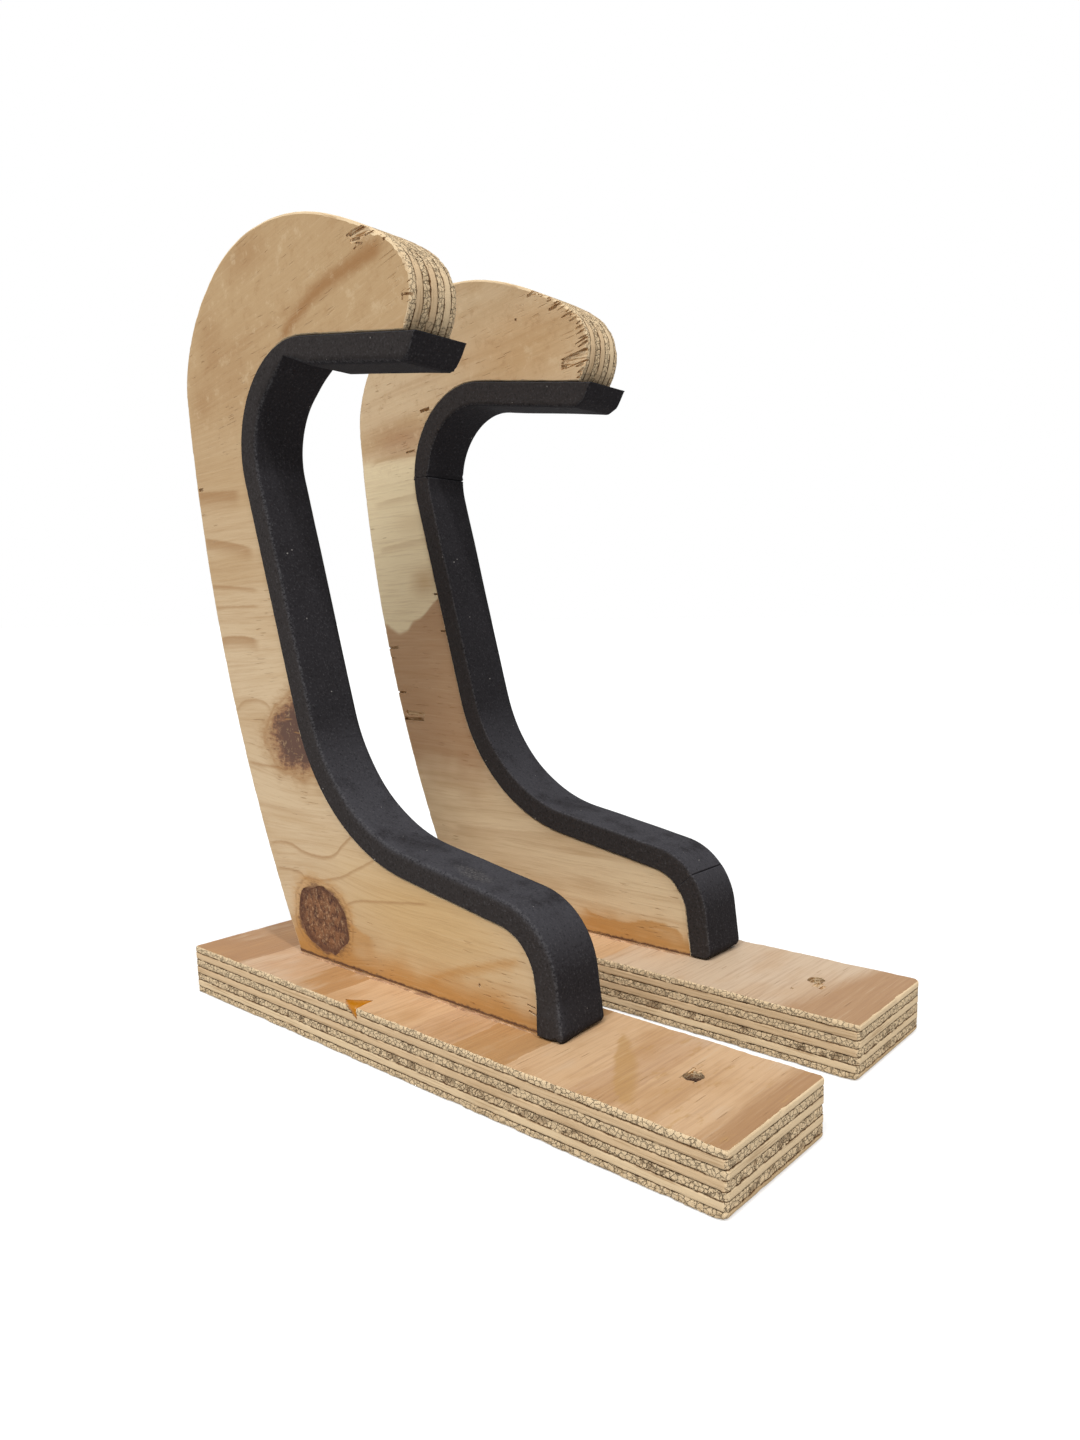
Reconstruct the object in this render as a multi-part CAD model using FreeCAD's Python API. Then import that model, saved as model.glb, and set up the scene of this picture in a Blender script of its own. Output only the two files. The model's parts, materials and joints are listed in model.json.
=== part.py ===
import FreeCAD, Part
import math
import os

# A surfboard rack: two separate plywood hook brackets, stood on their plates.
# Each bracket is a base plate, a swan-neck arm screwed on from below, and a
# foam lining glued round the inside of the hook. Millimetres, +Z up, +X towards
# the hook's mouth, +Y from the near bracket to the far one. The origin is the
# centre of the near plate's underside, the face that goes against a wall.

# Plywood board that the plates and the arms are cut from
PLY = 18.0

# Base plate
PLATE_LENGTH = 240.0
PLATE_WIDTH = 49.0
PLATE_CORNER = 1.5
WALL_HOLE_DIAMETER = 5.0
WALL_HOLE_FROM_END = 28.0
WALL_HOLE_OFFSET = 2.7

# Cradle line of the arm: runs and tangent turns from the foot's front to the beak
FOOT_REACH = 41.5
FOOT_LEAN = 7.8
FOOT_RISE = 16.7
TOE_RADIUS = 16.4
INSTEP_SLOPE = 9.3
INSTEP_RUN = 45.4
SWEEP_RADIUS = 68.8
COLUMN_LEAN = 15.1
COLUMN_RUN = 85.7
THROAT_RADIUS = 34.4
BEAK_DROOP = 8.5
BEAK_RUN = 51.4

# Back of the arm: the head is set out from the throat's centre, the nose from the beak's tip
HEEL_REACH = 82.0
BACK_BULGE = 10.5
NAPE_BACK = 69.9
NAPE_RISE = 22.3
POLL_BACK = 40.8
POLL_RISE = 66.1
CROWN_BACK = 6.3
CROWN_RISE = 72.5
BROW_BEFORE_NOSE = 21.8
BROW_ABOVE_NOSE = 21.3
NOSE_OVER_TIP = 4.5
NOSE_ABOVE_TIP = 11.8
ARM_OFFSET = 6.0
ARM_EDGE_ROUND = 1.0

# Foam strip
PAD_THICKNESS = 9.0
PAD_WIDTH = 20.5
PAD_SIDESTEP = 0.5
PAD_EDGE_ROUND = 1.4
PAD_PAST_TIP = 6.3
PAD_TIP_SLANT = 3.6
PAD_PLATE_GAP = 0.4
GLUE_LINE = 0.15
FOLD_DEPTH = 4.0
FOLD_BEFORE_TOP = 9.0
TOE_SEAM_TURN = 33.0
THROAT_SEAM_TURN = 17.0
SEAM_GAP = 0.2

# Countersunk wood screws from the plate's underside into the arm's foot
SCREW_NAMES = ("rear", "middle", "front")
SCREW_PITCH = 38.0
SCREW_DIAMETER = 4.5
SCREW_LENGTH = 40.0
SCREW_POINT = 6.0
SCREW_HEAD_DIAMETER = 8.8
SCREW_HEAD_RECESS = 0.5
SCREW_CLEARANCE = 0.1
CROSS_WIDTH = 1.1
CROSS_LENGTH = 4.8
CROSS_DEPTH = 1.8

# The far bracket's place beside the near one, and its arm's place on its plate
FAR_PITCH = 82.75
FAR_BACK = 7.5
FAR_YAW = 0.84
FAR_ARM_FORWARD = 3.7

# Headings along the cradle line, in degrees from +X towards +Z
FOOT_HEADING = 90.0 + FOOT_LEAN
INSTEP_HEADING = 180.0 - INSTEP_SLOPE
COLUMN_HEADING = 90.0 + COLUMN_LEAN
BEAK_HEADING = -BEAK_DROOP

# Places that follow from the sizes above
PAD_MIDDLE = ARM_OFFSET + PAD_SIDESTEP
SCREW_ROW_MIDDLE = (FOOT_REACH - HEEL_REACH) / 2.0

# Two edges closer than this lie on the same line
SAME_LINE = 0.001


def point(x, z):
    """Point of the bracket's profile, which lies in the XZ plane."""
    return FreeCAD.Vector(x, 0, z)


def ahead(heading):
    """Unit vector along a heading."""
    angle = math.radians(heading)
    return point(math.cos(angle), math.sin(angle))


def right_of(heading):
    """Unit vector to the right of a heading, from the arm towards the hook's opening."""
    return ahead(heading - 90.0)


def line(start, end):
    return Part.LineSegment(start, end).toShape()


def arc(start, middle, end):
    return Part.Arc(start, middle, end).toShape()


def foot_point(side, height):
    """Point on the foot's front, SIDE away from the wood and HEIGHT above the plate."""
    lean = math.radians(FOOT_LEAN)
    return point(FOOT_REACH + side / math.cos(lean) - height * math.tan(lean), PLY + height)


def cradle_steps(beak_run):
    """Runs (length) and turns (radius, degrees to the left) of the cradle line."""
    return [
        (FOOT_RISE,),
        (TOE_RADIUS, INSTEP_HEADING - FOOT_HEADING),
        (INSTEP_RUN,),
        (SWEEP_RADIUS, COLUMN_HEADING - INSTEP_HEADING),
        (COLUMN_RUN,),
        (THROAT_RADIUS, BEAK_HEADING - COLUMN_HEADING),
        (beak_run,),
    ]


def cradle_line(side, height, beak_run):
    """Edges of the cradle line, drawn SIDE off the wood, and the centres of its turns."""
    edges = []
    centres = []
    place = foot_point(0.0, 0.0)
    heading = FOOT_HEADING
    drawn = foot_point(side, height)
    for step in cradle_steps(beak_run):
        if len(step) == 1:
            place = place + ahead(heading) * step[0]
            reached = place + right_of(heading) * side
            edges.append(line(drawn, reached))
        else:
            radius, turn = step
            hand = math.copysign(1.0, turn)
            centre = place - right_of(heading) * radius * hand
            spoke = radius * hand + side
            halfway = centre + right_of(heading + turn / 2.0) * spoke
            heading = heading + turn
            place = centre + right_of(heading) * radius * hand
            reached = centre + right_of(heading) * spoke
            edges.append(arc(drawn, halfway, reached))
            centres.append(centre)
        drawn = reached
    return edges, centres


def end_of(edges):
    """Last point of a drawn line: the end of its closing straight run."""
    return edges[-1].valueAt(edges[-1].LastParameter)


def toe_centre():
    return cradle_line(0.0, 0.0, BEAK_RUN)[1][0]


def throat_centre():
    return cradle_line(0.0, 0.0, BEAK_RUN)[1][2]


def arm_outline():
    """Closed outline of the arm, and the edges of its back, head and chin."""
    cradle, centres = cradle_line(0.0, 0.0, BEAK_RUN)
    throat = centres[2]
    tip = end_of(cradle)
    heel = point(-HEEL_REACH, PLY)
    nape = throat + point(-NAPE_BACK, NAPE_RISE)
    poll = throat + point(-POLL_BACK, POLL_RISE)
    crown = throat + point(-CROWN_BACK, CROWN_RISE)
    nose = tip + point(NOSE_OVER_TIP, NOSE_ABOVE_TIP)
    brow = nose + point(-BROW_BEFORE_NOSE, BROW_ABOVE_NOSE)

    chord = nape - heel
    outward = point(-chord.z, chord.x) / chord.Length
    back = Part.Arc(heel, heel + chord * 0.5 + outward * BACK_BULGE, nape)
    back_edge = back.toShape()
    nape_direction = back_edge.tangentAt(back_edge.LastParameter)

    chin_radius = (NOSE_OVER_TIP**2 + NOSE_ABOVE_TIP**2) / (2.0 * NOSE_OVER_TIP)
    chin_turn = math.degrees(math.asin(NOSE_ABOVE_TIP / chin_radius))
    chin_centre = nose - point(chin_radius, 0)
    chin_edge = arc(tip, chin_centre + ahead(-chin_turn / 2.0) * chin_radius, nose)

    head = Part.BSplineCurve()
    head.interpolate(
        Points=[nape, poll, crown, brow, nose],
        InitialTangent=nape_direction,
        FinalTangent=point(0, -1),
        Scale=False,
    )
    head_edge = head.toShape()
    base_edge = line(heel, foot_point(0.0, 0.0))
    free_edges = [chin_edge, head_edge, back_edge]
    return Part.Wire(Part.__sortEdges__(cradle + free_edges + [base_edge])), free_edges


def strip(wire, middle, width):
    """Solid of a flat outline, WIDTH thick across Y and centred on MIDDLE."""
    face = Part.Face(wire)
    face.translate(FreeCAD.Vector(0, middle - width / 2.0, 0))
    return face.extrude(FreeCAD.Vector(0, width, 0))


def edges_along(solid, drawn_edges, middle, width):
    """Edges of a strip's two rims that follow the drawn edges."""
    found = []
    for edge in solid.Edges:
        centre = edge.valueAt((edge.FirstParameter + edge.LastParameter) / 2.0)
        on_rim = abs(abs(centre.y - middle) - width / 2.0) < SAME_LINE
        flat = Part.Vertex(centre.x, 0, centre.z)
        away = min(flat.distToShape(drawn)[0] for drawn in drawn_edges)
        if on_rim and away < SAME_LINE:
            found.append(edge)
    return found


def upright(radius, height, x, y, z):
    """Cylinder standing along +Z."""
    return Part.makeCylinder(radius, height, FreeCAD.Vector(x, y, z))


def screw_places():
    """Places of the screws along X, in a row about the middle of the arm's foot."""
    first = SCREW_ROW_MIDDLE - SCREW_PITCH * (len(SCREW_NAMES) - 1) / 2.0
    return [first + SCREW_PITCH * index for index in range(len(SCREW_NAMES))]


def screw_body(x, grow):
    """Countersunk screw standing head down at X, every radius larger by GROW."""
    shank = SCREW_DIAMETER / 2.0 + grow
    head = SCREW_HEAD_DIAMETER / 2.0 + grow
    tip_height = SCREW_HEAD_RECESS + SCREW_LENGTH + grow
    under_head = SCREW_HEAD_RECESS + head - shank
    profile = [
        point(0, SCREW_HEAD_RECESS),
        point(head, SCREW_HEAD_RECESS),
        point(shank, under_head),
        point(shank, tip_height - SCREW_POINT),
        point(0, tip_height),
    ]
    face = Part.Face(Part.makePolygon(profile + profile[:1]))
    screw = face.revolve(FreeCAD.Vector(0, 0, 0), FreeCAD.Vector(0, 0, 1), 360)
    screw.translate(FreeCAD.Vector(x, ARM_OFFSET, 0))
    return screw


def make_screw(x):
    """Wood screw with a plain cross recess in its head."""
    screw = screw_body(x, 0.0)
    for along_x, along_y in ((CROSS_LENGTH, CROSS_WIDTH), (CROSS_WIDTH, CROSS_LENGTH)):
        corner = FreeCAD.Vector(x - along_x / 2.0, ARM_OFFSET - along_y / 2.0, SCREW_HEAD_RECESS)
        screw = screw.cut(Part.makeBox(along_x, along_y, CROSS_DEPTH, corner))
    return screw


def make_plate(arm_forward):
    """Base plate with its wall hole and the countersunk holes under the arm."""
    corner = FreeCAD.Vector(-PLATE_LENGTH / 2.0, -PLATE_WIDTH / 2.0, 0)
    plate = Part.makeBox(PLATE_LENGTH, PLATE_WIDTH, PLY, corner)
    upright_edges = [edge for edge in plate.Edges if edge.BoundBox.ZLength > PLY / 2.0]
    plate = plate.makeFillet(PLATE_CORNER, upright_edges)
    hole_x = PLATE_LENGTH / 2.0 - WALL_HOLE_FROM_END
    plate = plate.cut(upright(WALL_HOLE_DIAMETER / 2.0, PLY, hole_x, WALL_HOLE_OFFSET, 0))
    for x in screw_places():
        mouth = SCREW_HEAD_DIAMETER / 2.0 + SCREW_CLEARANCE
        plate = plate.cut(screw_body(x + arm_forward, SCREW_CLEARANCE))
        plate = plate.cut(upright(mouth, SCREW_HEAD_RECESS, x + arm_forward, ARM_OFFSET, 0))
    return plate


def make_arm():
    """Swan-neck arm with eased edges on its back and head, drilled for its screws."""
    outline, free_edges = arm_outline()
    arm = strip(outline, ARM_OFFSET, PLY)
    arm = arm.makeFillet(ARM_EDGE_ROUND, edges_along(arm, free_edges, ARM_OFFSET, PLY))
    for x in screw_places():
        arm = arm.cut(screw_body(x, SCREW_CLEARANCE))
    return arm


def make_pad():
    """Foam strip along the whole cradle line, with a slanted end past the beak's tip."""
    outer_side = GLUE_LINE + PAD_THICKNESS
    inner_run = BEAK_RUN + PAD_PAST_TIP
    outer_run = inner_run - PAD_TIP_SLANT
    inner = cradle_line(GLUE_LINE, PAD_PLATE_GAP, inner_run)[0]
    outer = cradle_line(outer_side, PAD_PLATE_GAP, outer_run)[0]
    tip_end = line(end_of(inner), end_of(outer))
    foot_end = line(foot_point(outer_side, PAD_PLATE_GAP), foot_point(GLUE_LINE, PAD_PLATE_GAP))
    outline = Part.Wire(Part.__sortEdges__(inner + outer + [tip_end, foot_end]))
    pad = strip(outline, PAD_MIDDLE, PAD_WIDTH)
    return pad.makeFillet(PAD_EDGE_ROUND, edges_along(pad, outer, PAD_MIDDLE, PAD_WIDTH))


def fold_wedge():
    """Wedge that turns the round of the foam in the throat into a sharp fold."""
    inside = THROAT_RADIUS - GLUE_LINE - PAD_THICKNESS
    apex_reach = inside + FOLD_DEPTH
    spread = math.degrees(math.acos(inside / apex_reach))
    centre = throat_centre()
    middle = 90.0 + FOLD_BEFORE_TOP
    corners = [
        centre + ahead(middle) * apex_reach,
        centre + ahead(middle + spread) * inside,
        centre + ahead(middle - spread) * inside,
    ]
    return strip(Part.makePolygon(corners + corners[:1]), PAD_MIDDLE, 2.0 * PAD_WIDTH)


def seam_slab(centre, radius, spoke):
    """Thin slab through the foam where two strips butt, on a spoke of one of the turns."""
    across = point(-spoke.z, spoke.x) * (SEAM_GAP / 2.0)
    low = centre + spoke * (radius - 2.0 * PAD_THICKNESS)
    high = centre + spoke * (radius + 2.0 * PAD_THICKNESS)
    corners = [low - across, high - across, high + across, low + across]
    return strip(Part.makePolygon(corners + corners[:1]), PAD_MIDDLE, 2.0 * PAD_WIDTH)


def seamed_pad():
    """The far bracket's foam, lowest strip first: it butts on the toe and in the throat."""
    toe_spoke = right_of(FOOT_HEADING + TOE_SEAM_TURN)
    throat_spoke = right_of(COLUMN_HEADING - THROAT_SEAM_TURN) * -1.0
    pad = make_pad().cut(seam_slab(toe_centre(), TOE_RADIUS, toe_spoke))
    pad = pad.cut(seam_slab(throat_centre(), THROAT_RADIUS, throat_spoke))
    return sorted(pad.Solids, key=lambda solid: solid.CenterOfMass.z)


def near_bracket():
    """Pieces of the near bracket: one foam strip, folded sharply in the throat."""
    pieces = {
        "near_base_plate": make_plate(0.0),
        "near_arm": make_arm(),
        "near_foam_pad": make_pad().cut(fold_wedge()),
    }
    for name, x in zip(SCREW_NAMES, screw_places()):
        pieces["near_screw_" + name] = make_screw(x)
    return pieces


def far_bracket():
    """Pieces of the far bracket: its foam is three strips, butted end to end."""
    on_arm = {"far_arm": make_arm()}
    on_arm.update(zip(("far_toe_pad", "far_foam_pad", "far_beak_pad"), seamed_pad()))
    for name, x in zip(SCREW_NAMES, screw_places()):
        on_arm["far_screw_" + name] = make_screw(x)
    for shape in on_arm.values():
        shape.translate(FreeCAD.Vector(FAR_ARM_FORWARD, 0, 0))
    pieces = {"far_base_plate": make_plate(FAR_ARM_FORWARD)}
    pieces.update(on_arm)
    for shape in pieces.values():
        shape.rotate(FreeCAD.Vector(0, 0, 0), FreeCAD.Vector(0, 0, 1), FAR_YAW)
        shape.translate(FreeCAD.Vector(-FAR_BACK, FAR_PITCH, 0))
    return pieces


def main():
    os.makedirs("parts", exist_ok=True)
    pieces = near_bracket()
    pieces.update(far_bracket())
    for name, shape in pieces.items():
        print(f"{name}: {len(shape.Solids)} solid, valid {shape.isValid()}, {shape.Volume:.0f} mm3")
        shape.exportStep(f"parts/{name}.step")


main()
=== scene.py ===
import json
import math
import random
from typing import NamedTuple

import bmesh
import bpy
from mathutils import Matrix, Vector, kdtree, noise


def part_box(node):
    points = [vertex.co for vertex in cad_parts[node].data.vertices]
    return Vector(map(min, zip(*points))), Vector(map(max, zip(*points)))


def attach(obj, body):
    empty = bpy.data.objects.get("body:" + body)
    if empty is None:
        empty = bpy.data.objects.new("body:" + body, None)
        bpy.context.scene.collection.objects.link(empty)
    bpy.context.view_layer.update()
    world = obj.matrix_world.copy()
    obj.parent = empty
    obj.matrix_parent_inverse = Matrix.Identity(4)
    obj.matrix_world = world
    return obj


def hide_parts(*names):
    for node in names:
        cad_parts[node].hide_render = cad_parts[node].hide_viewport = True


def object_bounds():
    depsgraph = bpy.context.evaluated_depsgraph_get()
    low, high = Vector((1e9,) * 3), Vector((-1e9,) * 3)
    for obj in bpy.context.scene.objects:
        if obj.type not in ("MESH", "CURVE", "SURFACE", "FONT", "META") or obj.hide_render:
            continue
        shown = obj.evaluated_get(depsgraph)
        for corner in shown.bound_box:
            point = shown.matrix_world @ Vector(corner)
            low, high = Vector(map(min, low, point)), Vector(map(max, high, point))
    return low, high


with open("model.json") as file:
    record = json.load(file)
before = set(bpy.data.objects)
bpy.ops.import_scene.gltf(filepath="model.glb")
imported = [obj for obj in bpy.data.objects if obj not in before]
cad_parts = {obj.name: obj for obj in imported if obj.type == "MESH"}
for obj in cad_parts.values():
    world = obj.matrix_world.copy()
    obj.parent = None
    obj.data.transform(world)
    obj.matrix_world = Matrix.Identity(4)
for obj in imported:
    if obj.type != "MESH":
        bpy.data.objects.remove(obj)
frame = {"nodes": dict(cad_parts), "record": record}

# Looks of a surfboard rack: two plywood hook brackets, each a base plate, a swan-neck arm and a
# foam lining round the inside of the hook. Shapes are worked out in millimetres of a bracket's
# own frame, with its arm's near face towards -Y, and set down in metres in the part's frame.

bl_info = {
    "name": "Surfboard Rack",
    "version": (1, 0, 0),
    "blender": (4, 5, 0),
    "location": "3D View > Sidebar > Rack",
    "description": "Plywood hook brackets with foam linings that hold a surfboard",
    "category": "Object",
}

CAD_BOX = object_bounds()
MM = 0.001
SIDES = ("near", "far")
PADS = {"near": ("near_foam_pad",), "far": ("far_toe_pad", "far_foam_pad", "far_beak_pad")}
SCREWS = ("rear", "middle", "front")
X_AXIS = Vector((1, 0, 0))
Y_AXIS = Vector((0, 1, 0))
Z_AXIS = Vector((0, 0, 1))

# Points closer than this are one point
WELD = 0.002

# Plywood: share of the board that each of its plies takes, from the face that shows
PLY_SHARES = (0.115, 0.155, 0.15, 0.155, 0.14, 0.15, 0.135)

# Where an outline is cut, as a share of the piece's depth, clear of the screws' bores
ARM_CUT = 0.2
PLATE_CUT = 0.5
FOAM_CUT = 0.5

# A point of the arm this near to its foam, or this near to the plate, is a fitted edge
FITTED = 1.2

# A point moved in by a distance is clear while it stays this share of it away from the outline
MITRE = 0.85

# Side of the cells that a flat cap is split into
CAP_CELL = 7.0

# Hollows are cut from this far outside a face
CUT_ABOVE = 0.6

# Material slots of a piece's flat faces and of the edge between them
FACE_SLOT = 0
EDGE_SLOT = 1

# Attribute that holds how far a point of a sawn edge is torn out, which the edge's colour darkens as painted
# shade
TORN_LAYER = "torn"


def amount(name, description, default, **kind):
    """A plain number that a user can set."""
    return bpy.props.FloatProperty(name=name, description=description, default=default, **kind)


def length(name, description, millimetres):
    """A length that a user can set."""
    return amount(name, description, millimetres * MM, unit="LENGTH", precision=5)


def angle(name, description, degrees):
    """An angle that a user can set."""
    return amount(name, description, math.radians(degrees), subtype="ANGLE")


def colour(name, description, red, green, blue):
    """A colour that a user can set."""
    return bpy.props.FloatVectorProperty(
        name=name, description=description, default=(red, green, blue), subtype="COLOR", min=0.0, max=1.0
    )


class RackPlywoodSettings(bpy.types.PropertyGroup):
    """Relief and colours of the arms and plates."""

    step: length("Edge Step", "Spacing of the points along a sawn edge", 0.75)
    end_relief: length("End Grain Relief", "How rough a ply is where its fibres are cut across", 0.42)
    long_relief: length("Long Grain Relief", "How rough a ply is where the saw ran with its fibres", 0.07)
    glue_groove: length("Glue Groove", "How deep the saw tore the glue between plies", 0.36)
    free_round: length("Sanded Edge", "Rounding of the arm's free edges", 0.9)
    fitted_round: length("Fitted Edge", "Rounding of the edges against foam and plate", 0.3)
    veneer_pale: colour("Pale Veneer", "Pale wood of the arms' faces", 0.665, 0.5, 0.312)
    # Cream mottle of the heads, and the far arm's ground, lifted by painted light against the near bracket's
    # shade
    veneer_cream: colour("Cream Veneer", "Palest wood of the far arm", 0.75, 0.585, 0.37)
    # Whitish sapwood, lifted by painted light against the near bracket's shade
    veneer_sap_and_painted_light: colour("Sapwood Veneer", "Whitish sapwood of the far arm's column", 0.815, 0.685, 0.445)
    veneer_amber: colour("Amber Veneer", "Warm wood of the near arm's foot", 0.6, 0.395, 0.175)
    veneer_tan: colour("Tan Veneer", "Tan wood of the arms' heads", 0.53, 0.355, 0.186)
    veneer_pink: colour("Pink Veneer", "Pinkish brown wood of the far arm", 0.405, 0.225, 0.115)
    veneer_brown: colour("Brown Veneer", "Streaks and growth lines", 0.36, 0.187, 0.072)
    veneer_orange: colour("Orange Veneer", "Resin-soaked wood by the knots and the foot", 0.5, 0.25, 0.07)
    knot_dark: colour("Knot Rim", "Dark bark rim of a knot", 0.095, 0.045, 0.032)
    knot_brown: colour("Knot", "Rough heart of a knot", 0.25, 0.12, 0.062)
    plate_pale: colour("Pale Plate", "Pale wood of the plates' tops", 0.62, 0.405, 0.23)
    plate_pink: colour("Pink Plate", "Pinkish wood of the plates' tops", 0.55, 0.345, 0.195)
    plate_tan: colour("Tan Plate", "Tan wood of the plates' tops", 0.45, 0.248, 0.105)
    plate_brown: colour("Brown Plate", "Brown wood of the plates' tops", 0.385, 0.21, 0.095)
    plate_amber: colour("Amber Plate", "Wedge in the near plate's top", 0.47, 0.27, 0.1)
    plate_cream: colour("Cream Plate", "Palest wood of the far plate's top", 0.6, 0.45, 0.31)
    edge_cream: colour("Cream Edge", "Pale plies on sawn edges", 0.76, 0.585, 0.37)
    edge_grey: colour("Grey End Grain", "Weathered end grain on sawn edges", 0.6, 0.435, 0.25)
    edge_tan: colour("Tan Edge", "Smooth plies on sawn edges", 0.68, 0.495, 0.3)
    edge_dark: colour("Dark Edge", "Dirty plies on sawn edges", 0.44, 0.29, 0.155)
    # Dark glue lines between plies, and painted shade in the pits and gaps of end grain
    edge_glue_and_pit_shade: colour("Pitted Edge", "Pits and glue lines on sawn edges", 0.12, 0.056, 0.02)
    resin: colour("Resin", "Amber drop at the near plate's edge", 0.44, 0.16, 0.002)
    glue: colour("Glue", "Glue pressed out of the joint between arm and plate", 0.4, 0.22, 0.125)


class RackFoamSettings(bpy.types.PropertyGroup):
    """Edges and colours of the foam linings."""

    step: length("Foam Step", "Spacing of the points along a strip", 0.9)
    near_round: length("Near Crease", "Rounding of the near strip's free edges", 2.3)
    far_round: length("Far Crease", "Rounding of the far strips' free edges", 1.3)
    near_end: length("Near End", "Rounding of the near strip's end corners", 0.5)
    far_end: length("Far End", "Rounding of the far strips' end corners", 2.6)
    glued_round: length("Glued Edge", "Rounding of the edges on the wood", 0.35)
    butt_round: length("Butt Edge", "Rounding of the edges where two strips meet", 0.25)
    waviness: length("Waviness", "How far a strip's free face wanders", 0.16)
    black: colour("Foam Skin", "Charcoal skin of the foam sheet", 0.0215, 0.0195, 0.0215)
    cut: colour("Cut Foam", "Cut sides of a strip", 0.037, 0.032, 0.031)
    # Dust, and a painted sheen that lights the foam's tops
    dust_and_top_sheen: colour("Dusty Foam", "Foam that faces up and gathers dust", 0.053, 0.051, 0.057)
    # Wear, and the painted highlight along the creases
    worn: colour("Worn Foam", "Foam where it is rubbed or creased", 0.1, 0.098, 0.102)
    pores: colour("Foam Pores", "Open cells of the foam", 0.006, 0.006, 0.006)
    dust: colour("Dust", "Sawdust on the foam", 0.34, 0.32, 0.3)


class RackScrewSettings(bpy.types.PropertyGroup):
    """Colours of the screws."""

    zinc_dull: colour("Dull Zinc", "Yellowish patches of the zinc plating", 0.62, 0.58, 0.44)
    zinc_bright: colour("Bright Zinc", "Bright patches of the zinc plating", 0.74, 0.71, 0.6)


class RackStageSettings(bpy.types.PropertyGroup):
    """Camera, lamps and floor."""

    camera_place: bpy.props.FloatVectorProperty(
        name="Camera",
        description="Place of the camera",
        default=(0.23288, -0.2034, 0.13952),
        subtype="TRANSLATION",
    )
    camera_turn: bpy.props.FloatVectorProperty(
        name="Camera Turn",
        description="Turn of the camera",
        default=(math.radians(80.552), math.radians(0.691), math.radians(39.338)),
        subtype="EULER",
    )
    lens: amount("Lens", "Focal length", 24.68, unit="CAMERA")
    shift_x: amount("Shift X", "Sideways shift of the frame", -0.0469)
    shift_y: amount("Shift Y", "Upward shift of the frame", 0.0437)
    key: amount("Key", "Strength of the broad front lamp", 2.13)
    key_spread: angle("Key Spread", "Angle that the front lamp spans", 30.0)
    side: amount("Side", "Strength of the smaller side lamp", 1.0)
    side_spread: angle("Side Spread", "Angle that the side lamp spans", 4.0)
    sky: amount("Sky", "Strength of the light from all round", 0.32)
    floor: colour("Floor", "Plain pale floor", 0.6, 0.6, 0.6)


def mount(name):
    """A mount's place in the part's frame."""
    return next(Vector(each["pos_m"]) for each in frame["record"]["mounts"] if each["name"] == name)


def heading(side):
    """Direction from a bracket's wall face to its wall hole, as an angle about Z."""
    way = mount(side + "_wall_hole") - mount(side + "_wall_face")
    return math.atan2(way.y, way.x)


def plate_place(side):
    """A bracket's own frame: at its wall face, turned from the near bracket as its hole is."""
    turn = Matrix.Rotation(heading(side) - heading("near"), 4, "Z")
    return Matrix.Translation(mount(side + "_wall_face")) @ turn


def screw_centre(side, name):
    """Middle of a screw in the part's frame."""
    low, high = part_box(f"{side}_screw_{name}")
    return (low + high) / 2.0


def middle_screw(side):
    """Middle of a bracket's middle screw in the bracket's own frame, in metres."""
    return plate_place(side).inverted() @ screw_centre(side, "middle")


def arm_place(side):
    """An arm's own frame: its plate's, moved along as far as its screws stand from the near arm's."""
    forward = middle_screw(side).x - middle_screw("near").x
    return plate_place(side) @ Matrix.Translation((forward, 0, 0))


def arm_face(side):
    """Place of an arm's near face across its bracket, in millimetres: half a board from its screws."""
    low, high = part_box("near_arm")
    return (middle_screw(side).y - (high.y - low.y) / 2.0) / MM


def to_metres(place):
    """Millimetres of a piece's own frame to metres of the part's frame."""
    return place @ Matrix.Scale(MM, 4)


def wander(spot, spacing, seed=0.0):
    """Smooth seeded noise from -1 to 1 that changes over SPACING millimetres."""
    return noise.noise(spot / spacing + Vector((seed, seed * 1.7, seed * 0.6)))


class Waves(NamedTuple):
    """A layer of noise: how far it moves a value, over how many millimetres it changes, and its seed."""

    reach: float
    spacing: float
    seed: float = 0.0


def uneven(spot, level, layers, seed=0.0):
    """A level that layers of noise move up and down."""
    for layer in layers:
        level += layer.reach * wander(spot, layer.spacing, seed + layer.seed)
    return level


def soft_step(value, low, high):
    """0 below LOW, 1 above HIGH, smooth between."""
    share = min(max((value - low) / (high - low), 0.0), 1.0)
    return share * share * (3.0 - 2.0 * share)


def only(kind, parts):
    """The vertices, edges or faces among the parts that an operator gives."""
    return [part for part in parts if isinstance(part, kind)]


def extruded(mesh, edges):
    """Extrudes edges, and gives the new edges and vertices."""
    parts = bmesh.ops.extrude_edge_only(mesh, edges=edges)["geom"]
    return only(bmesh.types.BMEdge, parts), only(bmesh.types.BMVert, parts)


def once(parts):
    """Parts without repeats, in order."""
    return list(dict.fromkeys(parts))


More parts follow.
